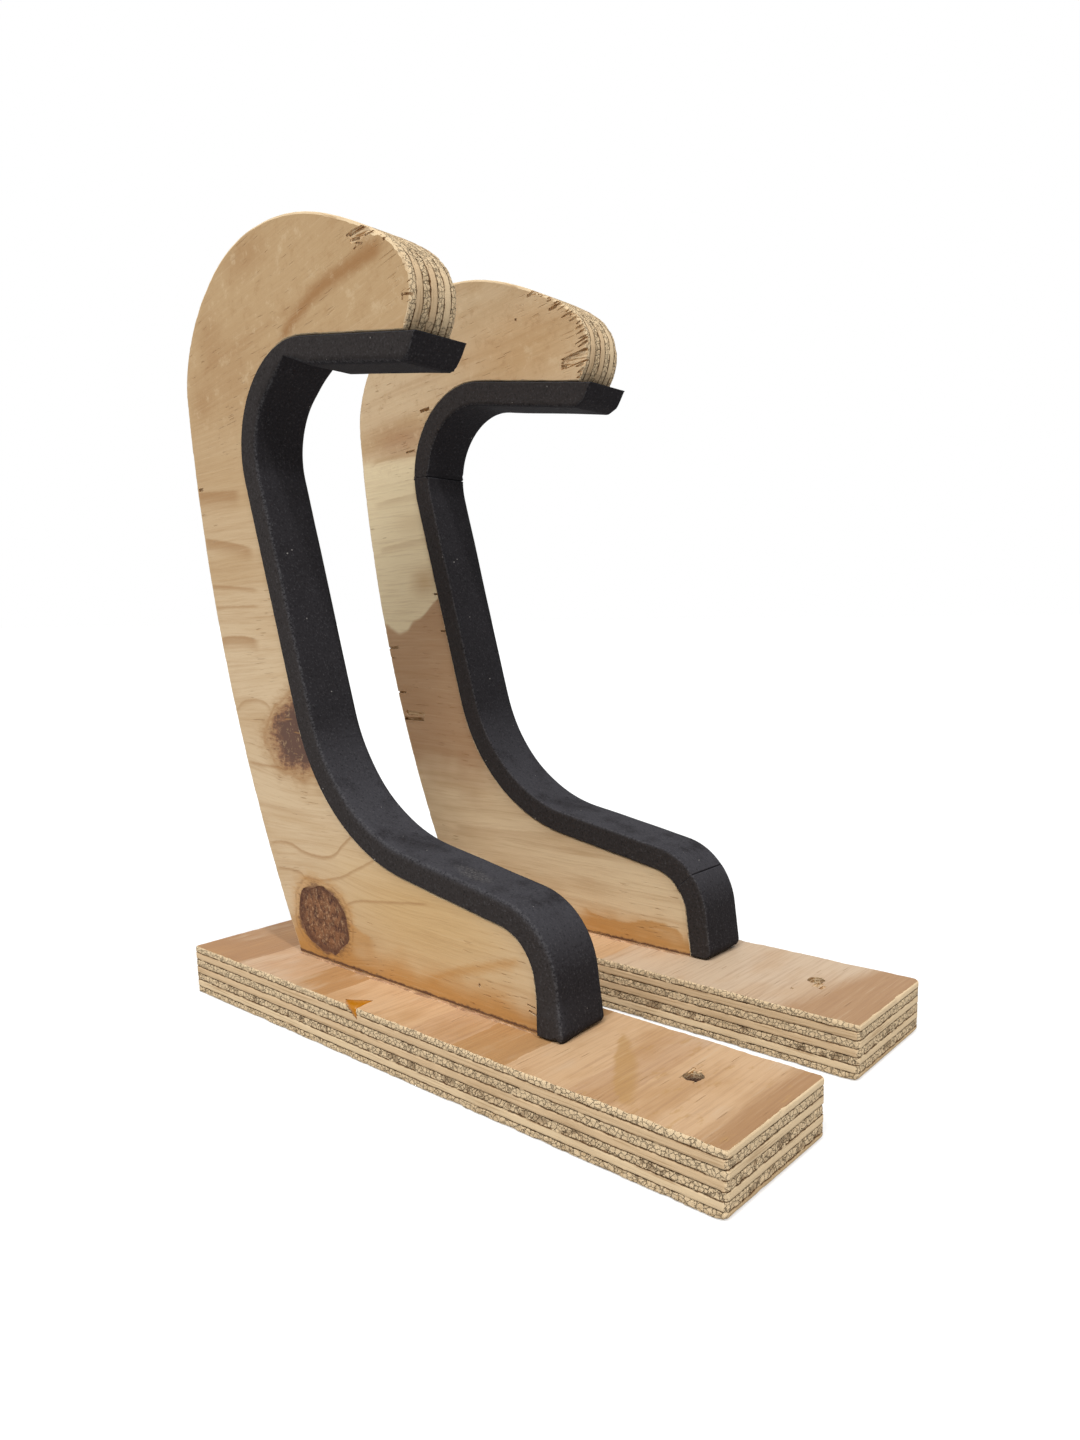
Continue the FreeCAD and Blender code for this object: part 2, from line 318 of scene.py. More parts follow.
class Outline:
    """Outline of a CAD piece where a plane across AXIS cuts it, in millimetres of its own frame."""

    def __init__(self, node, place, axis, cut, step):
        self.axis = axis
        self.mesh = bmesh.new()
        self.mesh.from_mesh(frame["nodes"][node].data)
        bmesh.ops.transform(self.mesh, matrix=to_metres(place).inverted(), verts=self.mesh.verts)
        bmesh.ops.remove_doubles(self.mesh, verts=self.mesh.verts, dist=WELD)
        depths = [vert.co.dot(axis) for vert in self.mesh.verts]
        self.low = min(depths)
        self.depth = max(depths) - self.low
        bmesh.ops.bisect_plane(
            self.mesh,
            geom=self.mesh.verts[:] + self.mesh.edges[:] + self.mesh.faces[:],
            dist=WELD,
            plane_co=axis * (self.low + self.depth * cut),
            plane_no=axis,
            clear_inner=True,
            clear_outer=True,
        )
        self.keep_longest_loop(node)
        for edge in self.mesh.edges[:]:
            cuts = int(edge.calc_length() / step)
            if cuts:
                bmesh.ops.subdivide_edges(self.mesh, edges=[edge], cuts=cuts)
        self.number_points()

    def loop_from(self, first):
        """Vertices of the loop that FIRST is on, in order."""
        loop = [first]
        edge = first.link_edges[0]
        vert = edge.other_vert(first)
        while vert is not first:
            loop.append(vert)
            edge = next(each for each in vert.link_edges if each is not edge)
            vert = edge.other_vert(vert)
        return loop

    def keep_longest_loop(self, node):
        """Deletes the loops of holes and bores."""

        def run(loop):
            """How far a loop runs along X."""
            return max(vert.co.x for vert in loop) - min(vert.co.x for vert in loop)

        if any(len(vert.link_edges) != 2 for vert in self.mesh.verts):
            raise RuntimeError(f"the outline of {node} isn't closed")
        loops = []
        left = set(self.mesh.verts)
        while left:
            loop = self.loop_from(next(iter(left)))
            loops.append(loop)
            left -= set(loop)
        longest = max(loops, key=run)
        inside = [vert for loop in loops if loop is not longest for vert in loop]
        bmesh.ops.delete(self.mesh, geom=inside, context="VERTS")

    def number_points(self):
        """Numbers the points round the outline, and finds each one's place and outward direction."""
        self.number = self.mesh.verts.layers.int.new("number")
        first = max(self.mesh.verts, key=lambda vert: (vert.co.x, vert.co.z, vert.co.y))
        loop = self.loop_from(first)
        flat = Vector((1, 1, 1)) - self.axis
        self.spots = [vert.co * flat for vert in loop]
        for index, vert in enumerate(loop):
            vert[self.number] = index
        pairs = list(zip(self.spots, self.spots[1:] + self.spots[:1]))
        hand = math.copysign(1.0, sum(a.cross(b).dot(self.axis) for a, b in pairs))
        ways = [(b - a).normalized() for a, b in pairs]
        self.outward = [
            ((before + after).cross(self.axis) * hand).normalized()
            for before, after in zip(ways[-1:] + ways[:-1], ways)
        ]

    def tree(self):
        """Search tree of the outline's points."""
        found = kdtree.KDTree(len(self.spots))
        for index, spot in enumerate(self.spots):
            found.insert(spot, index)
        found.balance()
        return found

    def moved_in(self, insets, tree):
        """Places of the points moved inwards. Points that would cross at a corner gather on its mitre."""
        places = [spot - out * inset for spot, out, inset in zip(self.spots, self.outward, insets)]
        clear = [
            index
            for index, (place, inset) in enumerate(zip(places, insets))
            if tree.find(place)[2] > MITRE * inset
        ]
        count = len(places)
        for before, after in zip(clear, clear[1:] + [clear[0] + count]):
            start = places[before]
            run = places[after % count] - start
            for index in range(before + 1, after):
                places[index % count] = start + run * ((index - before) / (after - before))
        return places

    def stack(self, levels, shape):
        """Extrudes the outline from level to level.

        SHAPE(index, level) gives a point's inset, its depth and how far it is torn out, from 0 to 1.
        """
        tree = self.tree()
        torn = self.mesh.verts.layers.float.new(TORN_LAYER)
        loop = self.mesh.edges[:]
        verts = self.mesh.verts[:]
        for number, level in enumerate(levels):
            if number:
                loop, verts = extruded(self.mesh, loop)
            insets, depths, tears = zip(*(shape(index, level) for index in range(len(self.spots))))
            places = self.moved_in(insets, tree)
            for vert in verts:
                index = vert[self.number]
                vert.co = places[index] + self.axis * (self.low + depths[index])
                vert[torn] = tears[index]
        for face in self.mesh.faces:
            face.smooth = True
            face.material_index = EDGE_SLOT
        caps = bmesh.ops.holes_fill(self.mesh, edges=self.mesh.edges, sides=0)["faces"]
        for face in caps:
            face.smooth = False
            face.material_index = FACE_SLOT
        bmesh.ops.recalc_face_normals(self.mesh, faces=self.mesh.faces)
        bmesh.ops.triangulate(self.mesh, faces=self.split(caps))

    def split(self, caps):
        """Splits flat caps into small cells, so that a hollow's cut stays clean."""
        for way in (X_AXIS, Y_AXIS, Z_AXIS):
            spans = [spot.dot(way) for spot in self.spots]
            for number in range(1, math.ceil((max(spans) - min(spans)) / CAP_CELL)):
                parts = once(part for face in caps for part in (face, *face.edges, *face.verts))
                cut = way * (min(spans) + number * CAP_CELL)
                cells = bmesh.ops.bisect_plane(self.mesh, geom=parts, dist=WELD, plane_co=cut, plane_no=way)
                caps = only(bmesh.types.BMFace, cells["geom"])
        return caps


def new_piece(name, mesh, materials):
    """Object of a finished bmesh, with its place in its mesh."""
    data = bpy.data.meshes.new(name)
    mesh.to_mesh(data)
    for material in materials:
        data.materials.append(material)
    made = bpy.data.objects.new(name, data)
    bpy.context.scene.collection.objects.link(made)
    return made


def set_down(name, mesh, place, materials):
    """Object of a bmesh in millimetres of a piece's own frame, set down in the part's frame."""
    bmesh.ops.transform(mesh, matrix=to_metres(place), verts=mesh.verts)
    made = new_piece(name, mesh, materials)
    mesh.free()
    return made


def smoothed(mesh):
    """A closed bmesh with smooth faces that point outwards."""
    for face in mesh.faces:
        face.smooth = True
    bmesh.ops.recalc_face_normals(mesh, faces=mesh.faces)
    return mesh


def carve(piece, cutter):
    """Cuts a cutter's hollows out of a piece for good, and removes the cutter."""
    hollows = piece.modifiers.new("hollows", "BOOLEAN")
    hollows.operation = "DIFFERENCE"
    hollows.solver = "MANIFOLD"
    hollows.material_mode = "TRANSFER"
    hollows.object = cutter
    whole = piece.data
    depsgraph = bpy.context.evaluated_depsgraph_get()
    piece.data = bpy.data.meshes.new_from_object(piece.evaluated_get(depsgraph))
    piece.modifiers.clear()
    piece.data.name = piece.name
    bpy.data.meshes.remove(whole)
    bpy.data.objects.remove(cutter)


def settle(piece, side, slot, *nodes):
    """Lets a piece ride on its bracket, in place of CAD nodes where it stands for any."""
    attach(piece, side + "_bracket")
    if nodes:
        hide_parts(*nodes)


# Least distance between torn places that are cut together
TEAR_APART = 0.1


class Tear(NamedTuple):
    """A torn place: its middle on the face, its size with and across the grain, its turn, depth and taper."""

    along: float
    across: float
    length: float
    width: float
    turn: float = 0.0
    depth: float = 1.2
    taper: float = 0.0

    def reach(self):
        """Half of its size along and across the face."""
        turn = math.radians(self.turn)
        cosine, sine = abs(math.cos(turn)), abs(math.sin(turn))
        along = self.length * cosine + self.width * sine
        across = self.length * sine + self.width * cosine
        return along / 2.0, across / 2.0

    def clear_of(self, other):
        """Whether it and another torn place lie apart."""
        reach, further = self.reach(), other.reach()
        beside = abs(self.along - other.along) > reach[0] + further[0] + TEAR_APART
        return beside or abs(self.across - other.across) > reach[1] + further[1] + TEAR_APART


def rounds_apart(tears):
    """Sorts torn places into rounds in which none meets another, because a cutter must not meet itself."""
    rounds = []
    for tear in tears:
        free = (group for group in rounds if all(tear.clear_of(other) for other in group))
        group = next(free, None)
        if group is None:
            group = []
            rounds.append(group)
        group.append(tear)
    return rounds


def carve_tears(piece, tears, face, place, torn):
    """Cuts torn places into a piece, round by round."""
    for number, group in enumerate(rounds_apart(tears)):
        hollows = bmesh.new()
        for order, tear in enumerate(group):
            add_tear(hollows, tear, face, order * TEAR_SEED_STEP + number * ROUND_SEED_STEP)
        carve(piece, finish_cutter(hollows, place, torn))


# Torn places of the arms' near faces, across the arm and up it
ARM_TEARS = {
    "near": (
        Tear(-25.0, 254.6, 13.5, 3.8, 4.0, 0.45), Tear(-27.4, 255.4, 9.0, 0.9, 6.0, 1.2),
        Tear(-28.0, 253.4, 5.0, 1.0, -6.0, 1.2), Tear(-21.6, 253.6, 5.5, 0.6, 4.0, 0.9),
        Tear(-26.4, 251.8, 4.5, 0.7, -14.0, 0.7), Tear(-31.0, 255.4, 3.5, 0.9, 12.0, 0.6),
        Tear(-28.4, 250.9, 1.8, 0.7, 20.0, 0.6), Tear(-14.6, 250.3, 1.6, 1.0, 0.0, 1.0),
        Tear(15.3, 27.4, 1.2, 1.1, 0.0, 0.8), Tear(-3.6, 233.0, 7.5, 0.8, -10.0, 1.2),
        Tear(-7.4, 233.0, 0.9, 2.0, 0.0, 1.0), Tear(-128.0, 189.0, 4.0, 1.2, 0.0, 1.0),
        Tear(38.8, 23.8, 5.5, 0.8, -14.0, 0.9), Tear(37.6, 26.0, 4.0, 0.6, -10.0, 0.7),
    ),
    "far": (
        Tear(-29.6, 257.6, 5.5, 2.2, 10.0, 0.9, 0.6), Tear(-18.6, 251.0, 7.0, 2.2, 12.0, 1.5, 0.6),
        Tear(-12.6, 247.4, 6.5, 1.3, 14.0, 1.2, 0.7), Tear(-5.4, 237.6, 9.0, 1.2, 16.0, 1.3, 0.7),
        Tear(-6.8, 232.2, 20.0, 4.6, 9.0, 0.9, 0.2), Tear(-14.6, 229.9, 2.6, 1.8, 9.0, 1.6),
        Tear(-8.0, 230.1, 14.0, 0.7, 9.0, 1.6), Tear(-3.0, 226.4, 9.0, 2.8, 8.0, 0.9, 0.2),
        Tear(-4.4, 224.9, 6.0, 0.7, 8.0, 1.5), Tear(-37.8, 250.2, 1.2, 1.0, 0.0, 1.2),
        Tear(-90.4, 225.0, 7.0, 1.3, 6.0, 1.4), Tear(-100.2, 209.7, 6.8, 0.9, 4.0, 1.0),
        Tear(-117.0, 128.0, 8.0, 1.1, 4.0, 1.4), Tear(-117.6, 123.6, 4.6, 0.7, 2.0, 0.9),
        Tear(-113.0, 108.5, 8.0, 0.9, 2.0, 1.3), Tear(-104.2, 99.4, 15.0, 1.9, -2.0, 1.0),
        Tear(-105.4, 96.9, 15.5, 1.6, 1.0, 2.0), Tear(-87.2, 150.6, 5.0, 0.7, 0.0, 1.2),
        Tear(-83.8, 135.2, 5.0, 0.7, 0.0, 1.2),
    ),
}

# Torn places of the plates' tops, as (along the grain, which is Y, and across it, which is -X)
PLATE_TEARS = {
    "near": (
        Tear(5.4, -89.6, 4.4, 1.2, 6.0, 0.5), Tear(5.6, -91.6, 3.2, 0.8, -6.0, 0.4),
        Tear(1.0, -89.6, 3.2, 0.7, 0.0, 0.4), Tear(0.4, -94.2, 3.0, 0.7, 4.0, 0.4),
    ),
    "far": (
        Tear(-0.8, -94.4, 5.4, 2.4, 0.0, 0.5), Tear(-2.4, -96.8, 4.0, 1.4, 0.0, 0.4),
        Tear(-8.6, -88.9, 1.2, 1.1, 0.0, 1.0),
    ),
}

# A torn place: width of its strips, share of its length that their ends miss, share of its depth that
# their floors miss, and share of its taper that its depth follows
TEAR_ROW = 0.55
TEAR_ENDS = 0.34
TEAR_FLOOR = 0.4
TEAR_SHALLOW = 0.6

# Noise of the strips' ends and floors from 0 to 1, and how far apart the noise of both ends is
TEAR_END_NOISE = Waves(0.5, 1.3)
TEAR_FLOOR_NOISE = Waves(0.5, 0.9, 3.0)
TEAR_ENDS_APART = 9.0

# Steps of the seed from one torn place to the next, and from one round of them to the next
TEAR_SEED_STEP = 7.3
ROUND_SEED_STEP = 2.9


def add_tear(mesh, tear, face, seed):
    """Adds a torn place to a cutter: strips along the grain, with uneven ends and floors."""
    rows = max(2, round(tear.width / TEAR_ROW))
    roof = bmesh.ops.create_grid(mesh, x_segments=1, y_segments=rows, size=0.5)["verts"]
    for vert in roof:
        end = Vector((vert.co.x * TEAR_ENDS_APART, vert.co.y * rows, 0.0))
        reach = 1.0 - TEAR_ENDS * uneven(end, 0.5, [TEAR_END_NOISE], seed)
        width = tear.width * (1.0 - tear.taper if vert.co.x < 0.0 else 1.0)
        vert.co = Vector((vert.co.x * tear.length * reach, vert.co.y * width, CUT_ABOVE))
    faces = once(part for vert in roof for part in vert.link_faces)
    floor = only(bmesh.types.BMVert, bmesh.ops.extrude_face_region(mesh, geom=faces)["geom"])
    for vert in floor:
        inner = 1.0 - TEAR_SHALLOW * tear.taper if vert.co.x < 0.0 else 1.0
        vert.co.z = -tear.depth * inner * (1.0 - TEAR_FLOOR * uneven(vert.co, 0.5, [TEAR_FLOOR_NOISE], seed))
    turn = Matrix.Rotation(math.radians(tear.turn), 4, "Z")
    spot = Matrix.Translation((tear.along, tear.across, 0.0))
    bmesh.ops.transform(mesh, matrix=face @ spot @ turn, verts=roof + floor)


class Knot(NamedTuple):
    """A knot: its middle, its half length and height, its turn in degrees, and how deep it crumbled."""

    x: float
    z: float
    half_length: float
    half_height: float
    turn: float
    depth: float


# Knots of the arms' near faces. The upper one is sound, the lower one has a crumbled heart
ARM_KNOTS = {
    "near": (Knot(-69.0, 101.0, 22.0, 13.5, -12.0, 0.0), Knot(-66.0, 33.6, 15.8, 12.2, 18.0, 0.6)),
    "far": (),
}


# Crumbled heart of a knot: points round it and from pole to pole, share of the knot's size and depth that
# it takes, how uneven these are, and the step of the seed from knot to knot
KNOT_SEGMENTS = 40
KNOT_RINGS = 30
KNOT_SIZE = 0.97
KNOT_SIZE_NOISE = (Waves(0.16, 6.0),)
KNOT_DEPTH = 0.75
KNOT_DEPTH_NOISE = (Waves(0.5, 2.1, 2.0), Waves(0.3, 0.9, 5.0))
KNOT_SEED_STEP = 3.1

# Material slot of the crumbled knots in an arm's cutter, after the torn wood
KNOT_SLOT = 1


def add_knot(mesh, knot, face, seed):
    """Adds the shallow crumbled heart of a knot to a cutter."""
    ball = bmesh.ops.create_uvsphere(mesh, u_segments=KNOT_SEGMENTS, v_segments=KNOT_RINGS, radius=1.0)
    verts = ball["verts"]
    for vert in verts:
        spot = Vector((vert.co.x * knot.half_length, vert.co.y * knot.half_height, 0.0))
        ragged = uneven(spot, KNOT_SIZE, KNOT_SIZE_NOISE, seed)
        crumbs = uneven(spot, KNOT_DEPTH, KNOT_DEPTH_NOISE, seed)
        vert.co = Vector((spot.x * ragged, spot.y * ragged, vert.co.z * knot.depth * crumbs))
    for vert in verts:
        for part in vert.link_faces:
            part.material_index = KNOT_SLOT
    turn = Matrix.Rotation(-math.radians(knot.turn), 4, "Z")
    spot = Matrix.Translation((knot.x, knot.z, 0.0))
    bmesh.ops.transform(mesh, matrix=face @ spot @ turn, verts=verts)


class Splinters(NamedTuple):
    """Splinters torn from the rim of a beak: their spacing, longest length, width and depth."""

    spacing: float
    longest: float
    width: float
    depth: float


BEAK_SPLINTERS = {"near": Splinters(2.6, 2.6, 0.6, 0.4), "far": Splinters(2.1, 6.2, 1.5, 1.0)}

# Wear that a rim needs to splinter, share of a splinter's length by which its middle lies inside, its taper
SPLINTER_WEAR = 0.25
SPLINTER_INSIDE = 0.32
SPLINTER_TAPER = 0.7

# Least and most of what is drawn for a splinter: shares of its sizes, and its turn in degrees
SPLINTER_GAPS = (0.7, 1.3)
SPLINTER_RUNS = (0.4, 1.0)
SPLINTER_SIZES = (0.6, 1.2)
SPLINTER_TURN = (6.0, 20.0)


def rim_splinters(outline, worn, kind, seed):
    """Torn places along the worn stretch of an outline, each running in from the rim with the grain."""
    draw = random.Random(seed)
    tears = []
    last = None
    for spot, out, share in zip(outline.spots, outline.outward, worn):
        gap = kind.spacing * draw.uniform(*SPLINTER_GAPS)
        if share < SPLINTER_WEAR or (last and (spot - last).length < gap):
            continue
        last = spot
        run = kind.longest * share * draw.uniform(*SPLINTER_RUNS)
        middle = spot.x - math.copysign(run * SPLINTER_INSIDE, out.x)
        width = kind.width * draw.uniform(*SPLINTER_SIZES)
        depth = kind.depth * draw.uniform(*SPLINTER_SIZES)
        tears.append(Tear(middle, spot.z, run, width, draw.uniform(*SPLINTER_TURN), depth, SPLINTER_TAPER))
    return tears


def face_frame(along, across, origin):
    """Frame of a face: its grain, the way across it, and outwards."""
    turn = Matrix((along, across, along.cross(across))).transposed().to_4x4()
    return Matrix.Translation(origin) @ turn


# Screw bores in the arms and plates: points round one, radius of it and its mouth, and heights from the wall
BORE_STEPS = 28
BORE_RADIUS = 2.4
MOUTH_RADIUS = 4.5
MOUTH_DEPTH = 0.5
BORE_TOP = 40.6
BORE_POINT = 6.0


def add_screw_bores(mesh, side, place):
    """Adds the countersunk bores of an arm's three screws to a cutter."""
    profile = (
        (0.0, -CUT_ABOVE),
        (MOUTH_RADIUS, -CUT_ABOVE),
        (MOUTH_RADIUS, MOUTH_DEPTH),
        (BORE_RADIUS, MOUTH_DEPTH + MOUTH_RADIUS - BORE_RADIUS),
        (BORE_RADIUS, BORE_TOP - BORE_POINT),
        (0.0, BORE_TOP),
    )
    for name in SCREWS:
        centre = to_metres(place).inverted() @ screw_centre(side, name)
        centre.z = 0.0
        verts = [mesh.verts.new(centre + Vector((radius, 0.0, height))) for radius, height in profile]
        edges = [mesh.edges.new(pair) for pair in zip(verts, verts[1:])]
        bmesh.ops.spin(
            mesh,
            geom=verts + edges,
            cent=centre,
            axis=Z_AXIS,
            angle=2.0 * math.pi,
            steps=BORE_STEPS,
            use_merge=True,
            use_duplicate=False,
        )


def finish_cutter(mesh, place, *materials):
    """Cutter object of a bmesh in millimetres of a piece's own frame."""
    bmesh.ops.remove_doubles(mesh, verts=mesh.verts, dist=WELD)
    bmesh.ops.recalc_face_normals(mesh, faces=mesh.faces)
    return set_down("cutter", mesh, place, materials)


class PlyLevel(NamedTuple):
    """A level through the board: its depth along the axis, its ply from the face that shows, its glue."""

    depth: float
    ply: int
    glue: float


LAST_PLY = len(PLY_SHARES) - 1

# Levels inside a ply, as shares of its thickness
INSIDE_PLY = (0.1, 0.3, 0.5, 0.7, 0.9)


def ply_levels(board, from_top):
    """Levels through a board from the face that shows: a glue line at each ply's start, then its body."""
    levels = []
    start = 0.0
    for ply, share in enumerate(PLY_SHARES):
        levels.append((start, ply, 1.0 if ply else 0.0))
        levels += [(start + board * share * spot, ply, 0.0) for spot in INSIDE_PLY]
        start += board * share
    levels.append((board, LAST_PLY, 0.0))
    return [PlyLevel(board - depth if from_top else depth, ply, glue) for depth, ply, glue in levels]


def round_in(away, radius):
    """How far a rounding of RADIUS sets a point in that lies AWAY from the sharp edge."""
    if away >= radius:
        return 0.0
    return radius - math.sqrt(radius**2 - (radius - away) ** 2)


class Worn(NamedTuple):
    """Wear of a rim at a point: its rounding, how far chips reach, and how far a round corner sets it in."""

    rounding: float
    chips: float
    corner: float = 0.0


# Size of the crumbs on end grain, and how far from a board's face its rim reaches
CRUMB = 1.5
RIM_DEPTH = 1.5

# Fades of a sawn edge: how far fibres point out of it, gaps between crumbs, pits, and torn glue
END_GRAIN = (0.3, 0.8)
CREVICE = (0.04, 0.4)
PIT = (0.12, 0.5)
GLUE_TORN = (-0.45, 0.3)

# How much of the relief of end grain the gaps between crumbs and the pits take up
CREVICE_SHARE = 0.55
PIT_SHARE = 0.8

# Noise of a sawn edge: pits, torn glue, the saw's marks along the fibres, and chips of the rim
PIT_NOISE = Waves(1.0, 3.4, 5.0)
GLUE_NOISE = Waves(1.0, 3.0, 9.0)
SAW_NOISE = Waves(0.5, 1.1)
CHIP_NOISE = (Waves(0.6, 2.4, 13.0), Waves(0.8, 9.0, 15.0))


class SawnEdge:
    """Shape of a plywood piece's sawn edge: torn glue lines, crumbled end grain and worn rims."""

    def __init__(self, outline, wood, grains, plies, front, back, seed):
        self.outline = outline
        self.grains = grains
        self.plies = plies
        self.front = front
        self.back = back
        self.seed = seed
        self.end_relief = wood.end_relief / MM
        self.long_relief = wood.long_relief / MM
        self.groove = wood.glue_groove / MM

    def end_grain(self, index, ply):
        """1 where a ply's fibres are cut across, 0 where the saw ran along them."""
        return soft_step(abs(self.outline.outward[index].dot(self.grains[ply % 2])), *END_GRAIN)

    def crumbled(self, spot):
        """How far end grain is broken out at a spot, from 0 to 1."""
        nearest = noise.voronoi(spot / CRUMB + Vector((self.seed,) * 3))[0]
        crevice = 1.0 - soft_step(nearest[1] - nearest[0], *CREVICE)
        pit = soft_step(uneven(spot, 0.0, [PIT_NOISE], self.seed), *PIT)
        return min(1.0, CREVICE_SHARE * crevice + PIT_SHARE * pit)

    def shape(self, index, level):
        """Inset, depth and torn share of a point of the edge."""
        spot = self.outline.spots[index] + self.outline.axis * level.depth
        cut_across = self.end_grain(index, level.ply)
        crumbled = cut_across * self.plies[level.ply].crumble * self.crumbled(spot)
        torn = level.glue * soft_step(uneven(spot, 0.0, [GLUE_NOISE], self.seed), *GLUE_TORN)
        planed = self.long_relief * uneven(spot, 0.5, [SAW_NOISE], self.seed)
        from_face = min(level.depth, self.outline.depth - level.depth)
        rim = 1.0 - soft_step(from_face, 0.0, RIM_DEPTH)
        worn = (self.front if level.ply <= LAST_PLY / 2 else self.back)[index]
        chipped = worn.chips * rim * max(0.0, uneven(spot, 0.0, CHIP_NOISE, self.seed))
        eased = worn.corner + round_in(from_face, worn.rounding)
        inset = self.end_relief * crumbled + self.groove * torn + planed + chipped + eased
        return inset, level.depth, max(crumbled, torn)


# Directions of the fibres of every first and every second ply
ARM_GRAINS = (X_AXIS, Z_AXIS)
PLATE_GRAINS = (Y_AXIS, X_AXIS)

# How far chips reach into an arm's rims: fitted ones, the back, and the beak, which fades in along X and Z
FITTED_WEAR = 0.5
BACK_WEAR = 0.3
BEAK_WEAR = 1.6
BEAK_AHEAD = (-36.0, -16.0)
BEAK_ABOVE = (218.0, 226.0)

# Spacing of the points of a foam strip that are looked for beside an arm
LINING_STEP = 1.0

# Seeds of the noise of the sawn edges
ARM_SEEDS = {"near": 11.0, "far": 47.0}
PLATE_SEEDS = {"near": 71.0, "far": 29.0}

# Waves to the millimetre of the fibres in torn places
ARM_FIBRES = (0.14, 2.2, 1.6)
PLATE_FIBRES = (1.6, 0.14, 2.2)


def arm_wear(side, place, outline, base, wood):
    """Wear of an arm's rim at each point, and how much of the beak's wear each point has."""
    linings = [Outline(pad, place, Y_AXIS, FOAM_CUT, LINING_STEP) for pad in PADS[side]]
    trees = [lining.tree() for lining in linings]
    for lining in linings:
        lining.mesh.free()
    wear = []
    beak = []
    for spot in outline.spots:
        beside_foam = min(tree.find(spot)[2] for tree in trees) < FITTED
        fitted = beside_foam or spot.z < base + FITTED
        share = soft_step(spot.x, *BEAK_AHEAD) * soft_step(spot.z, *BEAK_ABOVE)
        chips = FITTED_WEAR if fitted else BACK_WEAR + (BEAK_WEAR - BACK_WEAR) * share
        wear.append(Worn((wood.fitted_round if fitted else wood.free_round) / MM, chips))
        beak.append(0.0 if fitted else share)
    return wear, beak


def make_arm(side, wood):
    """Swan-neck plywood arm with sawn ply edges and torn places on its near face."""
    place = arm_place(side)
    outline = Outline(side + "_arm", place, Y_AXIS, ARM_CUT, wood.step / MM)
    base = min(spot.z for spot in outline.spots)
    wear, beak = arm_wear(side, place, outline, base, wood)
    seed = ARM_SEEDS[side]
    edge = SawnEdge(outline, wood, ARM_GRAINS, ARM_PLIES, wear, wear, seed)
    face = face_frame(X_AXIS, Z_AXIS, Y_AXIS * outline.low)
    splinters = rim_splinters(outline, beak, BEAK_SPLINTERS[side], int(seed))
    outline.stack(ply_levels(outline.depth, from_top=False), edge.shape)
    veneer = ArmVeneer(side, place, outline, wood)
    materials = [veneer.whole(base), arm_edge_finish(side, place, outline, wood)]
    arm = set_down(side + "_arm_dressed", outline.mesh, place, materials)
    hollows = bmesh.new()
    for number, knot in enumerate(ARM_KNOTS[side]):
        if knot.depth:
            add_knot(hollows, knot, face, number * KNOT_SEED_STEP)
    add_screw_bores(hollows, side, place)
    torn = torn_finish(side + "_arm", place, ARM_FIBRES, base, wood)
    carve(arm, finish_cutter(hollows, place, torn, knot_finish(side, place, wood)))
    carve_tears(arm, (*ARM_TEARS[side], *splinters), face, place, torn)
    settle(arm, side, "arm_plywood", side + "_arm")


# Ragged wall hole: its radius, points round it, rings from end to end, and how uneven it is
HOLE_RADIUS = 2.95
HOLE_SEGMENTS = 30
HOLE_RINGS = 10
HOLE_NOISE = Waves(0.2, 1.4, 21.0)

# How far below a plate's top painted shade starts in its hole: the far one holds sawdust
HOLE_SHADE_DEPTH = {"near": 0.3, "far": 2.4}


def add_wall_hole(mesh, side, board):
    """Adds a plate's ragged wall hole to a cutter."""
    centre = to_metres(plate_place(side)).inverted() @ mount(side + "_wall_hole")
    centre.z = 0.0
    ring = bmesh.ops.create_circle(mesh, cap_ends=False, segments=HOLE_SEGMENTS, radius=HOLE_RADIUS)["verts"]
    edges = once(edge for vert in ring for edge in vert.link_edges)
    bottom = edges
    for number in range(HOLE_RINGS):
        # The first ring still lies round the origin
        middle = centre if number else Vector()
        if number:
            edges, ring = extruded(mesh, edges)
        height = -CUT_ABOVE + (board + 2.0 * CUT_ABOVE) * number / (HOLE_RINGS - 1)
        for vert in ring:
            way = Vector((vert.co.x, vert.co.y, 0.0)) - middle
            radius = HOLE_RADIUS * uneven(way + Z_AXIS * height, 1.0, [HOLE_NOISE])
            vert.co = centre + way.normalized() * radius + Z_AXIS * height
    bmesh.ops.holes_fill(mesh, edges=bottom + edges, sides=0)


# Wear of a plate's rims: rounding, extra rounding under its front end, over how far that fades in, and chips
PLATE_ROUND = 0.35
PLATE_FRONT_ROUND = 1.6
PLATE_FRONT_RUN = 4.0
PLATE_WEAR = 0.8
PLATE_BOTTOM_WEAR = 0.7

# Rounding of a plate's upright corners, and of its far front one
PLATE_CORNER = 0.7
PLATE_FAR_CORNER = {"near": 1.2, "far": 3.0}


def plate_wear(side, outline):
    """Wear of a plate's rims at each point, at its top and at its bottom."""
    ends, sides = ([spot.dot(way) for spot in outline.spots] for way in (X_AXIS, Y_AXIS))
    front = max(ends)
    top = []
    bottom = []
    for spot in outline.spots:
        in_x = min(spot.x - min(ends), front - spot.x)
        in_y = min(spot.y - min(sides), max(sides) - spot.y)
        far_front = spot.x > 0.0 and spot.y > 0.0
        corner = round_in(max(in_x, in_y), PLATE_FAR_CORNER[side] if far_front else PLATE_CORNER)
        at_front = soft_step(spot.x, front - PLATE_FRONT_RUN, front)
        top.append(Worn(PLATE_ROUND, PLATE_WEAR, corner))
        bottom.append(Worn(PLATE_ROUND + PLATE_FRONT_ROUND * at_front, PLATE_BOTTOM_WEAR, corner))
    return top, bottom


